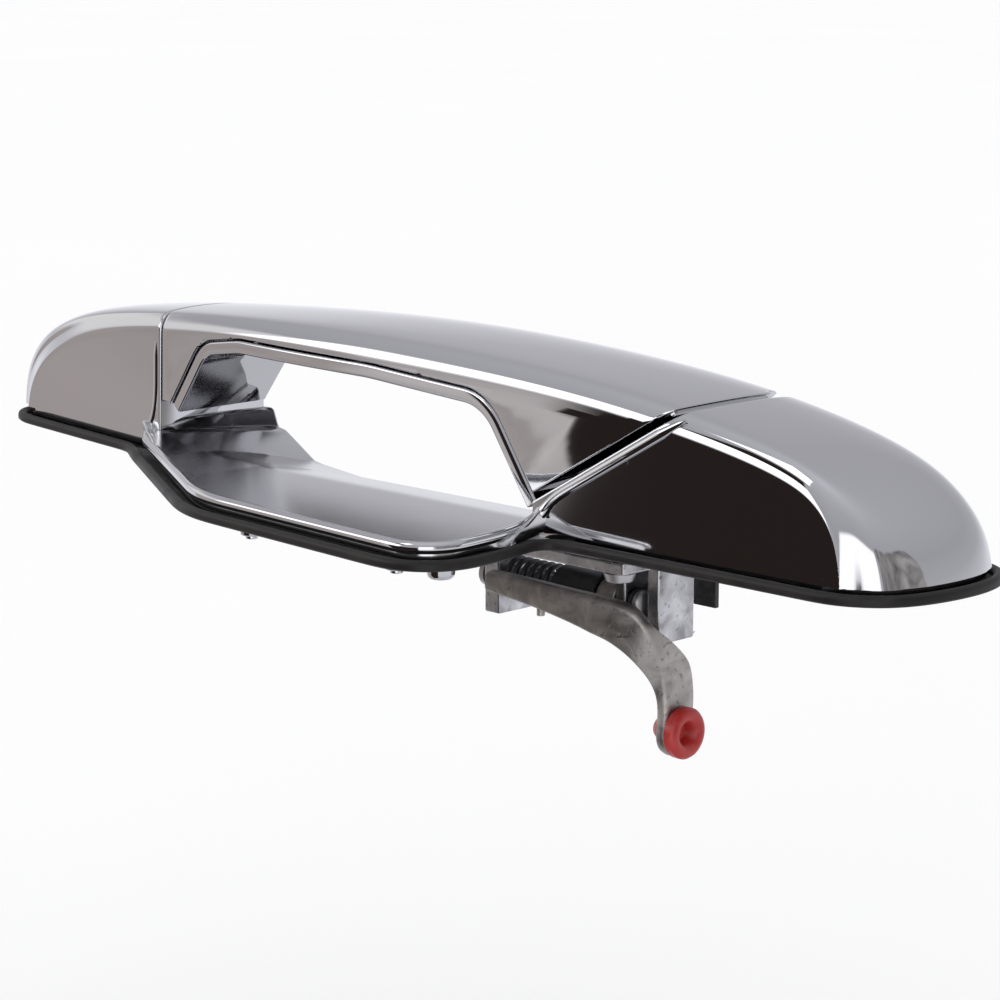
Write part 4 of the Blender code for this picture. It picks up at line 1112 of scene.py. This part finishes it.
    def make_underside(self) -> None:
        """Make the pad, pegs, stud, screw bosses, post cores and shelf under the chrome."""
        bm = bmesh.new()
        for low, high in (self.pad, self.shelf):
            add_block(bm, low, high, 0.3)
        for x, y in self.pegs:
            add_rod(bm, (x, y, self.root_z), (x, y, self.shoulder_z), self.peg_radius, 0.5)
            add_rod(bm, (x, y, self.shoulder_z + 0.2), (x, y, self.peg_tip_z), self.peg_tip_radius, 0.2)
        x, y = self.stud
        add_rod(bm, (x, y, self.root_z), (x, y, self.shoulder_z), self.stud_radius, self.stud_edge)
        for x, y in self.bracket_screws:
            add_rod(bm, (x, y, self.boss_span[0]), (x, y, self.boss_span[1]), self.boss_radius, 0.4)
        for x, y in self.inserts:
            add_rod(bm, (x, y, self.post_bore_top_z - 0.2), (x, y, self.post_top_z), self.post_radius, 0.5)
        self._keep(bm, "underside_castings")

    def make_posts(self) -> None:
        """Make the hollow posts that hold the threaded inserts."""
        foot, top = self.post_foot_z, self.post_bore_top_z
        profile = [(foot, self.post_bore), (foot, self.post_radius), (top, self.post_radius),
                   (top, self.post_bore)]
        for side, place in zip(("left", "right"), self.inserts):
            bm = spun(profile, Vector((*place, 0)), AXIS_Z, AXIS_X, closed=True, steps=48)
            self._keep(bm, f"insert_post_{side}")

    def make_flanges(self) -> None:
        """Make the flange inside each cap's lower edge."""
        half = self.flange_half
        for side, foot, start, inward in (
                ("left", self.foot_left, PARTING.left_x - 1.0, -self.flange_inset),
                ("right", self.foot_right, PARTING.sill_x + 1.0, self.flange_inset)):
            outline = shifted(SKIN.base_outline(start, side == "left"), inward)
            path = [Vector((*p, self.flange_seat)) for p in spaced(outline, self.flange_steps)]
            tall = foot + self.flange_overlap - self.flange_seat
            section = [(-half, 0.0), (half, 0.0), (half, tall), (-half, tall)]
            self._keep(tube(path, section), f"cap_flange_{side}")

    def make(self) -> None:
        """Make every part of the housing."""
        self.make_left_cap()
        self.make_right_cap()
        self.make_scoop()
        self.make_bead()
        self.make_underside()
        self.make_posts()
        self.make_flanges()


@dataclass
class Handle:
    """The bar that is pulled, its inner lip and what hinges it.

    The clear sizes are how far the cutting tools reach: Y and Z below the bar, and X, Y and
    Z beyond it.
    """

    wall: float = 1.9
    edge: float = 0.45
    shortest: float = 0.15
    columns: int = 170
    lip_columns: int = 220
    lip_thick: float = 3.2
    lip_groove: float = 0.5
    lip_setback: float = 0.4
    lip_edge: float = 0.7
    lip_far_y: float = 38.0
    leg_left_z: float = 14.0
    leg_left_x: Point2 = (-90.0, -60.0)
    leg_right_z: float = 8.6
    leg_right_x: Point2 = (30.0, 110.0)
    back_z: float = 21.0
    back_x: Point2 = (-95.0, 120.0)
    opening_far_y: float = 34.0
    back_near_y: float = 32.0
    far_gap: float = 2.6
    far_start: float = 37.0
    clear_low: Point2 = (-60.0, -30.0)
    clear_high: Point3 = (150.0, 80.0, 60.0)
    arch: tuple[Point2, ...] = ((-70.3, 11.9), (-58.2, 27.2), (-44.0, 29.2), (4.0, 28.9),
                                (40.8, 26.6), (55.2, 6.6))
    arch_radii: tuple[float, ...] = (8.0, 30.0, 120.0, 12.0)

    def arch_line(self, distance: float) -> Line:
        """The opening's edge, moved outwards by a distance."""
        return shifted(rounded(self.arch, self.arch_radii, 20), distance)

    def _cutter(self, outline: Sequence[Sequence[float]], near: float, far: float) -> bpy.types.Object:
        """A closed tool from an outline in X and Z, carried along Y."""
        return make_object(prism([(x, near, z) for x, z in outline], (0, far - near, 0)), "tool")

    def _slot(self, sides: Point2, top: float, near: float, far: float) -> bpy.types.Object:
        """A tool that clears everything below a height between two X."""
        low = self.clear_low[1]
        first, last = sides
        return self._cutter([(first, low), (first, top), (last, top), (last, low)], near, far)

    def make_bar(self) -> None:
        """Make the bar: the skin between the partings, less the finger opening."""
        left, gap = PARTING.left_x + PARTING.gap_left, PARTING.gap_right
        slant_tolerance = 0.05
        bm = skin_patch(self.columns, lambda p: p.x - left, lambda p: p.x - PARTING.right_at(p.z, gap))
        close_end(bm, lambda co: abs(co.x - left) < PARTING.tolerance)
        close_end(bm, lambda co: abs(co.x - PARTING.right_at(co.z, gap)) < slant_tolerance)
        bar = make_object(bm, "handle_bar")
        thicken(bar, self.wall)
        settle(bar)
        arch = self.arch_line(self.lip_thick + self.lip_groove)
        near, low = self.clear_low
        high_x, high_y, high_z = self.clear_high
        opening = [(arch[0].x, low), *[tuple(p) for p in arch], (arch[-1].x, low)]
        past_parting = [*((PARTING.right_at(z, self.far_gap), z) for z in (low, high_z)),
                        (high_x, high_z), (high_x, low)]
        carve(bar, self._cutter(opening, near, self.opening_far_y),
              self._slot(self.leg_left_x, self.leg_left_z, near, self.opening_far_y),
              self._slot(self.leg_right_x, self.leg_right_z, near, self.opening_far_y),
              self._slot(self.back_x, self.back_z, self.back_near_y, high_y),
              self._cutter(past_parting, self.far_start, high_y))
        settle(bar)
        tidy(bar, self.shortest)
        soften(bar, self.edge)
        settle(bar)
        hand_over(bar, Body.HANDLE, CAP_CHROME, ["handle_cover"])

    def make_lip(self) -> None:
        """Make the lip: an arch with rounded front edges that lines the opening."""
        columns, thick, edge = self.lip_columns, self.lip_thick, self.lip_edge
        arc = [(edge * (1 - math.cos(a)), edge * (1 - math.sin(a))) for a in QUARTER]
        section = [(d, r) for d, r in arc] + [(thick - d, r) for d, r in reversed(arc)]
        section = [(0.0, None), *section, (thick, None)]
        lines = {d: spaced(self.arch_line(d), columns + 1) for d, _ in section}
        sides = len(section)

        def place(along: float, across: float) -> Vector:
            """Point of the lip's skin."""
            distance, depth = section[round(across * sides) % sides]
            spot = lines[distance][round(along * columns)]
            near = SKIN.wall_y(spot.x, spot.y) + self.lip_setback
            return Vector((spot.x, self.lip_far_y if depth is None else near + depth, spot.y))

        bm = wrap_grid(columns, sides, place, FINE_MERGE)
        close_holes(bm)
        lip = make_object(bm, "handle_lip")
        soften(lip, 0.25, 2, 60.0)
        hand_over(lip, Body.HANDLE, CHROME, ["handle_liner"])

    def make(self) -> None:
        """Make the bar and lip, and dress the hinge parts."""
        self.make_bar()
        self.make_lip()
        for kind in ("arm", "screw"):
            for side in ("left", "right"):
                refine(f"handle_{kind}_{side}", Body.HANDLE, STEEL, 0.25)


def refine(node: str, body: Body, finish: object, edge: float) -> bpy.types.Object:
    """Stand a clean copy with rounded edges in for a CAD node.

    The node's loose triangles are merged, and the copy rides on the node's body.

    Args:
        node: The CAD node.
        body: The body it rides on.
        finish: Its finish.
        edge: Radius of its edges.

    Returns:
        The new piece.
    """
    bm = bmesh.new()
    bm.from_mesh(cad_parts[node].data)
    bmesh.ops.scale(bm, verts=bm.verts, vec=(1 / MM, 1 / MM, 1 / MM))
    bmesh.ops.remove_doubles(bm, verts=bm.verts, dist=0.004)
    bmesh.ops.dissolve_limit(bm, angle_limit=math.radians(1.0), verts=bm.verts, edges=bm.edges)
    piece = make_object(bm, f"{node}_fine")
    soften(piece, edge)
    return hand_over(piece, body, finish, [node])


@dataclass
class Gasket:
    """The rubber gasket under the caps and round the scoop."""

    width: float = 2.3
    top: float = 2.0
    bottom: float = -0.3
    flange: float = 0.8
    flange_width: float = 6.0
    gap: float = 0.3
    foot: float = 0.35
    join_left: float = 11.0
    join_right: float = 8.0
    rim_skip: tuple[int, int] = (6, 4)
    steps: int = 520

    def path(self, housing: Housing) -> Line:
        """Centre line of the gasket's rim in plan."""
        tail, end = 40, 1.0
        left = SKIN.base_outline(PARTING.left_x - self.join_left, True)
        aft_left = SKIN.base_outline(PARTING.left_x - end, True)[-tail:]
        aft_left = [point for point in aft_left if point.x > left[-1].x]
        right = SKIN.base_outline(PARTING.sill_x + self.join_right, False)
        aft_right = SKIN.base_outline(PARTING.sill_x + end, False)[-tail:]
        aft_right = [point for point in aft_right if point.x < right[-1].x]
        first, last = self.rim_skip
        rim = shifted(housing.rim(120), -housing.bead_radius)[first:-last]
        line = [*reversed(aft_left), *reversed(left), *rim, *right, *aft_right]
        smooth = eased(spaced(line, self.steps), 10)
        return eased(shifted(smooth, -self.width / 2 - self.gap), 6)

    def make(self, housing: Housing) -> None:
        """Make the gasket as one moulding with a rounded rim and a flat flange."""
        half, tall = self.width / 2, self.top - self.bottom
        arc = [(half * math.cos(math.pi * k / 10), tall - half + half * math.sin(math.pi * k / 10))
               for k in range(11)]
        section = [(-half - self.flange_width, 0.0), (half - self.foot, 0.0), (half, self.foot), *arc,
                   (-half, self.flange), (-half - self.flange_width, self.flange)]
        path = [Vector((*p, self.bottom)) for p in self.path(housing)]
        piece = make_object(tube(path, section), "gasket")
        hand_over(piece, Body.BASE, RUBBER, ["base_gasket"])


CRANK_AXIS = (20.0, -14.0)
ROD_AXIS = (21.4, -40.4)


@dataclass(frozen=True)
class Station:
    """One section of the bellcrank: two edges in X and Z, and its depth along Y."""

    outer: Point2
    inner: Point2
    depth: Point2

    def numbers(self) -> tuple[float, ...]:
        """The six sizes in one row."""
        return (*self.outer, *self.inner, *self.depth)


@dataclass
class Bellcrank:
    """The casting that the handle turns: a bar that bends down into the rod arm, and a hub."""

    bore: float = 2.52
    bore_span: Point2 = (60.0, 73.0)
    rod_bore: float = 2.72
    rod_span: Point2 = (70.0, 95.0)
    hub: Point2 = (64.0, 69.3)
    hub_radius: float = 4.6
    web_inset: float = 0.4
    web_start_y: float = 11.0
    web_rise: Point2 = (-2.6, 1.6)
    lug_inset: float = 0.2
    stub: tuple[Point3, Point3] = ((52.0, 11.4, -13.0), (52.0, 11.4, -18.6))
    stub_radius: float = 0.9
    sharp: float = 40.0
    steps: int = 8
    crest: float = 1.7
    corner: float = 0.8
    fit: float = 0.45
    stations: tuple[Station, ...] = (
        Station((36.1, -12.0), (36.1, -14.4), (10.2, 12.2)),
        Station((36.5, -11.4), (36.5, -15.0), (9.8, 12.6)),
        Station((38.0, -10.8), (38.0, -15.4), (9.6, 12.8)),
        Station((50.0, -10.9), (50.0, -16.6), (9.6, 12.8)),
        Station((61.0, -11.2), (61.0, -18.2), (9.6, 12.9)),
        Station((69.0, -11.4), (68.0, -19.6), (9.6, 13.1)),
        Station((75.2, -11.9), (72.6, -20.6), (9.8, 13.6)),
        Station((79.4, -13.3), (76.2, -22.4), (10.6, 13.8)),
        Station((81.9, -16.3), (78.8, -24.9), (12.0, 14.8)),
        Station((83.0, -20.6), (80.1, -28.0), (14.2, 20.0)),
        Station((83.2, -25.6), (80.4, -31.2), (16.2, 24.8)),
        Station((83.2, -31.6), (80.4, -34.4), (17.2, 26.4)),
        Station((83.2, -37.0), (80.4, -38.0), (17.2, 26.4)),
        Station((83.2, -41.4), (80.4, -41.4), (16.9, 26.0)),
        Station((83.2, -43.8), (80.4, -43.8), (17.7, 25.2)),
        Station((83.2, -45.4), (80.4, -45.4), (19.6, 23.3)),
        Station((83.1, -45.95), (80.5, -45.95), (20.8, 22.1)))
    lug: tuple[Point2, ...] = ((19.6, -13.6), (30.1, -2.95), (27.55, -0.42), (17.05, -11.1))

    def _section(self, station: int, step: int) -> Line:
        """Points round one section, blended between two stations by a smooth curve."""
        rows = [s.numbers() for s in self.stations]
        last = len(rows) - 1
        picked = [rows[min(max(station + k, 0), last)] for k in (-1, 0, 1, 2)]
        t = step / self.steps
        blended = [0.5 * (2 * b + (c - a) * t + (2 * a - 5 * b + 4 * c - d) * t ** 2
                          + (3 * b - a - 3 * c + d) * t ** 3) for a, b, c, d in zip(*picked)]
        outer, inner = Vector(blended[0:2]), Vector(blended[2:4])
        near, far = blended[4:6]
        tall, deep = (outer - inner).length, far - near
        upward = (outer - inner) / tall
        corners = ((tall, near, 1, -1, self.crest), (tall, far, 1, 1, self.corner),
                   (0.0, far, -1, 1, self.corner), (0.0, near, -1, -1, self.corner))
        points = []
        for number, (up, out, side, face, radius) in enumerate(corners):
            fit = min(radius, tall * self.fit, deep * self.fit)
            for angle in QUARTER if number % 2 == 0 else reversed(QUARTER):
                rise = up - side * fit * (1 - math.sin(angle))
                depth = out - face * fit * (1 - math.cos(angle))
                spot = inner + upward * rise
                points.append(Vector((spot.x, depth, spot.y)))
        return points

    def _arm(self) -> bmesh.types.BMesh:
        """The swept casting, from its tongue to the rod's end."""
        spans = len(self.stations) - 1
        rings = [self._section(station, step) for station in range(spans) for step in range(self.steps)]
        rings.append(self._section(spans, 0))
        count, sides = len(rings) - 1, len(rings[0])
        arm = wrap_grid(count, sides, lambda along, across: rings[
            round(along * count)][round(across * sides) % sides], 0.002)
        close_holes(arm)
        return arm

    def _hub(self) -> bmesh.types.BMesh:
        """The barrel that turns on the pivot pin."""
        bm = bmesh.new()
        start, end = self.hub
        add_rod(bm, (start, *CRANK_AXIS), (end, *CRANK_AXIS), self.hub_radius, 0.35)
        return bm

    def _web(self) -> bmesh.types.BMesh:
        """The block that joins the barrel to the casting."""
        bm = bmesh.new()
        start, end = self.hub
        y, z = CRANK_AXIS
        low, high = self.web_rise
        add_block(bm, (start + self.web_inset, self.web_start_y, z + low),
                  (end - self.web_inset, y, z + high), 0.5)
        return bm

    def _lug(self) -> bmesh.types.BMesh:
        """The lug that the bar's arm pushes."""
        start, end = self.hub
        outline = [(start + self.lug_inset, *point) for point in self.lug]
        return prism(outline, (end - start - 2 * self.lug_inset, 0, 0))

    def _stub(self) -> bmesh.types.BMesh:
        """The small stub under the casting."""
        bm = bmesh.new()
        add_rod(bm, *self.stub, self.stub_radius, 0.2, 24)
        return bm

    def make(self) -> None:
        """Make the casting's parts, with the pin's and the rod's bores through them."""
        pin, rod = (self.bore, CRANK_AXIS, self.bore_span), (self.rod_bore, ROD_AXIS, self.rod_span)
        for name, bm, hole in (("arm", self._arm(), rod), ("hub", self._hub(), pin),
                               ("web", self._web(), pin), ("lug", self._lug(), pin),
                               ("stub", self._stub(), None)):
            piece = make_object(bm, f"bellcrank_{name}", self.sharp)
            if hole:
                radius, centre, (start, end) = hole
                drill = bmesh.new()
                add_rod(drill, (start, *centre), (end, *centre), radius, 0.1)
                carve(piece, make_object(drill, "tool"))
                settle(piece, self.sharp)
            hand_over(piece, Body.CRANK, CRANK_METAL, ["bellcrank"])


@dataclass
class Mechanism:
    """Bracket, springs, pins and the rod clip."""

    pin_radius: float = 2.4
    pin_edge: float = 0.4
    pin_start: float = 26.6
    pin_head: float = 73.6
    pin_head_radius: float = 3.3
    pin_head_thick: float = 1.6
    spring_start: float = 36.2
    spring_radius: float = 4.4
    spring_wire: float = 0.65
    spring_pitch: float = 2.3
    spring_turns: float = 5.5
    return_inset: float = 0.6
    return_radius: float = 3.4
    return_wire: float = 0.6
    return_pitch: float = 1.8
    return_turns: float = 5.0
    clip_face: float = 83.5
    clip_radius: float = 5.6
    clip_thick: float = 3.0
    clip_neck: float = 2.6
    clip_back: float = 80.1
    clip_barb: float = 0.7
    clip_tip: float = 2.2

    def coil(self, node: str, start: Vector, radius: float, wire: float, pitch: float,
             turns: float) -> None:
        """Make a coil spring along X.

        Args:
            node: The CAD node it stands for.
            start: Centre of its first turn.
            radius: Radius of the coil.
            wire: Radius of the wire.
            pitch: Advance of one turn.
            turns: Number of turns.
        """
        steps = 40
        path = []
        for step in range(int(turns * steps) + 1):
            angle = 2 * math.pi * step / steps
            path.append(start + Vector((pitch * step / steps, radius * math.cos(angle),
                                        radius * math.sin(angle))))
        bm = tube(path, round_section(wire, 12), AXIS_X)
        hand_over(make_object(bm, f"{node}_fine", 60.0), Body.BASE, WIRE, [node])

    def make_pin(self) -> None:
        """Make the pivot pin with its domed head."""
        head, rim, thick = self.pin_head, self.pin_head_radius, self.pin_head_thick
        start, radius, edge = self.pin_start, self.pin_radius, self.pin_edge
        profile = [(start, 0.0), (start, radius - edge), (start + edge, radius), (head, radius),
                   (head, rim), (head + thick * 0.6, rim), (head + thick * 0.85, rim - 0.25),
                   (head + thick, rim - 0.7), (head + thick, 0.0)]
        bm = spun(profile, Vector((0, *CRANK_AXIS)), AXIS_X, AXIS_Z)
        hand_over(make_object(bm, "pivot_pin_fine"), Body.BASE, STEEL, ["pivot_pin"])

    def make_clip(self) -> None:
        """Make the rod clip: a dished flange, a neck and a snap stub."""
        face, rim, neck, back = self.clip_face, self.clip_radius, self.clip_neck, self.clip_back
        outer, barb, tip = face + self.clip_thick, neck + self.clip_barb, back - self.clip_tip
        dish = [(face + 0.3, 0.0), (face + 0.3, 1.5), (face + 0.9, 1.9), (outer - 0.9, 2.4),
                (outer - 0.35, 2.9), (outer - 0.05, 3.6), (outer, 4.1), (outer - 0.1, 4.7)]
        flange = [(outer - 0.45, rim - 0.35), (outer - 1.0, rim), (face + 0.4, rim), (face, rim - 0.4)]
        snap = [(face, neck), (back, neck), (back, barb), (back - 0.5, barb), (tip, neck - 0.4),
                (tip, 0.0)]
        bm = spun([*dish, *flange, *snap], Vector((0, *ROD_AXIS)), AXIS_X, AXIS_Z)
        hand_over(make_object(bm, "rod_clip_fine", 30.0), Body.CLIP, RED_PLASTIC, ["rod_clip"])

    def make(self) -> None:
        """Make every part of the mechanism."""
        start = Vector((self.spring_start, *CRANK_AXIS))
        self.coil("bellcrank_spring", start, self.spring_radius, self.spring_wire,
                  self.spring_pitch, self.spring_turns)
        low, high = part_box("handle_spring")
        middle = (low + high) / (2 * MM)
        start = Vector((low.x / MM + self.return_inset, middle.y, middle.z))
        self.coil("handle_spring", start, self.return_radius, self.return_wire,
                  self.return_pitch, self.return_turns)
        self.make_pin()
        self.make_clip()
        refine("bracket", Body.BASE, ZINC, 0.45)
        Bellcrank().make()
        refine("cover_tab", Body.BASE, BLACK_PLASTIC, 0.2)
        refine("hub_sleeve", Body.BASE, BLACK_PLASTIC, 0.25)
        refine("pin_retainer", Body.BASE, STEEL, 0.1)
        for side in ("left", "right"):
            refine(f"pin_washer_{side}", Body.BASE, BLACK_PLASTIC, 0.12)
            refine(f"bracket_screw_{side}", Body.BASE, STEEL, 0.2)
            refine(f"hinge_pin_{side}", Body.BASE, STEEL, 0.3)
            refine(f"mount_insert_{side}", Body.BASE, BRASS, 0.25)


# ---------------------------------------------------------------- studio
@dataclass(frozen=True)
class Zone:
    """A patch of the dome: directions from the object in degrees, from +X to +Y and up.

    Its edge fades over soft and wanders by ragged; mottle darkens it in clouds; share is
    how much of it covers what is under it.
    """

    azimuth: float
    width: float
    elevation: float
    height: float
    colour: Point3
    soft: float
    ragged: float = 0.0
    mottle: float = 0.0
    share: float = 1.0


WARM_GREY = (0.58, 0.525, 0.505)
NEAR_BLACK = (0.027, 0.020, 0.018)
LAMP = (2.6, 2.6, 2.6)


@dataclass
class Studio:
    """Pale floor, even light, the painted dome and the camera."""

    floor_z: float = -0.17
    floor_radius: float = 80.0
    light: float = 1.06
    dome_radius: float = 30.0
    sky: tuple[Point2, ...] = ((-90.0, 0.55), (-12.0, 0.9), (0.0, 0.95), (7.0, 0.74),
                               (14.0, 0.58), (26.0, 0.52), (50.0, 0.6), (90.0, 0.8))
    zones: tuple[Zone, ...] = (
        Zone(207.0, 44.0, -25.5, 69.0, WARM_GREY, 1.5, 0.0, 0.22),
        Zone(223.0, 8.0, -25.0, 70.0, (0.95, 0.92, 0.9), 2.0, 9.0, 0.35, 0.6),
        Zone(259.5, 66.0, -25.0, 70.0, NEAR_BLACK, 0.7, 3.0),
        Zone(185.0, 44.0, 18.0, 15.0, (1.0, 0.99, 0.98), 3.0),
        Zone(226.0, 40.0, 22.0, 23.0, LAMP, 2.6),
        Zone(235.0, 20.0, 40.0, 13.0, NEAR_BLACK, 0.8),
        Zone(233.0, 34.0, 58.0, 16.0, LAMP, 1.0),
        Zone(311.0, 36.0, 5.0, 50.0, (1.7, 1.7, 1.7), 2.0),
        Zone(2.0, 54.0, 12.0, 44.0, (0.55, 0.53, 0.52), 1.5, 10.0, 0.75))
    camera_place: Point3 = (0.478, -0.4271, 0.1257)
    azimuth: float = 45.0
    elevation: float = 11.0
    lens: float = 104.4

    def make_camera(self) -> None:
        """Place the camera."""
        data = bpy.data.cameras.new("camera")
        data.lens = self.lens
        data.sensor_width = 36.0
        data.clip_start, data.clip_end = 0.01, 50.0
        camera = bpy.data.objects.new("camera", data)
        a, e = math.radians(self.azimuth), math.radians(self.elevation)
        back = Vector((math.sin(a) * math.cos(e), -math.cos(a) * math.cos(e), math.sin(e)))
        camera.location = self.camera_place
        camera.rotation_mode = "QUATERNION"
        camera.rotation_quaternion = (-back).to_track_quat("-Z", "Y")
        bpy.context.scene.collection.objects.link(camera)
        bpy.context.scene.camera = camera

    def _stage(self, bm: bmesh.types.BMesh, name: str, material: bpy.types.Material) -> bpy.types.Object:
        """Put a mesh in metres on the stage, which the export leaves out."""
        mesh = bpy.data.meshes.new(name)
        bm.to_mesh(mesh)
        bm.free()
        mesh.materials.append(material)
        made = bpy.data.objects.new(name, mesh)
        bpy.context.scene.collection.objects.link(made)
        return made

    def make_floor(self) -> None:
        """Lay the pale floor, which reflections don't see."""
        bm = bmesh.new()
        bmesh.ops.create_circle(bm, cap_ends=True, segments=64, radius=self.floor_radius,
                                matrix=Matrix.Translation((0, 0, self.floor_z)))
        bench = Bench("studio_floor")
        colour = bench.mix(bench.noise(1.5, 2.0), (0.90, 0.90, 0.905), (0.93, 0.93, 0.935))
        floor = self._stage(bm, "floor", bench.finish(Base_Color=colour, Roughness=0.9))
        floor.visible_glossy = False

    def make_world(self) -> None:
        """Light the room evenly with white."""
        world = bpy.data.worlds.new("white_room")
        world.use_nodes = True
        background = world.node_tree.nodes["Background"]
        background.inputs["Color"].default_value = (1.0, 1.0, 1.0, 1.0)
        background.inputs["Strength"].default_value = self.light
        bpy.context.scene.world = world
        bpy.context.scene.view_settings.view_transform = "Standard"

    def _math(self, bench: Bench, operation: str, *values: object) -> Signal:
        """One Math node of a kind that has no operator."""
        return bench.signal("ShaderNodeMath", {"operation": operation}, dict(enumerate(values)))

    def _within(self, bench: Bench, value: Signal, half: float, soft: float) -> Signal:
        """1 where a value is nearer to 0 than half, fading over soft."""
        return bench.signal("ShaderNodeMapRange", {"interpolation_type": "SMOOTHSTEP"}, {
            0: self._math(bench, "ABSOLUTE", value), 1: half - soft, 2: half + soft, 3: 1.0, 4: 0.0})

    def _paint(self) -> bpy.types.Material:
        """The dome's glow: the sky by elevation, with the zones laid over it in order."""
        bench = Bench("reflection_dome")
        split = bench.node("ShaderNodeSeparateXYZ", {}, {0: bench.place})
        x, y, z = (Signal(bench, output) for output in split.outputs)
        azimuth = self._math(bench, "ARCTAN2", y, x) * math.degrees(1.0)
        elevation = self._math(bench, "ARCSINE", z * (1 / self.dome_radius)) * math.degrees(1.0)
        level = bench.ramp((elevation + 90.0) * (1 / 180.0), [
            ((angle + 90.0) / 180.0, light) for angle, light in self.sky])
        colour = bench.mix(level, (0.0, 0.0, 0.0), (1.0, 1.0, 1.06))
        ragged = bench.noise(0.16, 5.0, 0.8)
        cloud = bench.ramp(bench.noise(0.075, 5.0, 2.5), ((0.30, 0.0), (0.70, 1.0)))
        for zone in self.zones:
            wander = (ragged - 0.5) * zone.ragged
            turned = self._math(bench, "WRAP", azimuth - zone.azimuth + wander, 180.0, -180.0)
            across = self._within(bench, turned, zone.width / 2, zone.soft)
            raised = elevation - zone.elevation + wander
            upward = self._within(bench, raised, zone.height / 2, zone.soft)
            paint = zone.colour
            if zone.mottle:
                paint = bench.mix(cloud, tuple(part * (1 - zone.mottle) for part in paint), paint)
            colour = bench.mix(across * upward * zone.share, colour, paint)
        return bench.finish(Base_Color=(0.0, 0.0, 0.0, 1.0), Roughness=1.0, Specular_IOR_Level=0.0,
                            Emission_Color=colour, Emission_Strength=1.0)

    def make_dome(self) -> None:
        """Hang the painted dome that only reflections see."""
        bm = bmesh.new()
        bmesh.ops.create_icosphere(bm, subdivisions=5, radius=self.dome_radius)
        dome = self._stage(bm, "reflection_dome", self._paint())
        dome.visible_camera = False
        dome.visible_diffuse = False
        dome.visible_shadow = False
        dome.visible_transmission = False

    def make(self) -> None:
        """Build the studio."""
        self.make_camera()
        self.make_floor()
        self.make_world()
        self.make_dome()


def main() -> None:
    """Build every piece in order."""
    logging.basicConfig(level=logging.INFO, format="%(name)s: %(message)s")
    housing = Housing()
    housing.make()
    Gasket().make(housing)
    Handle().make()
    Mechanism().make()
    Studio().make()


if __name__ == "__main__":
    main()
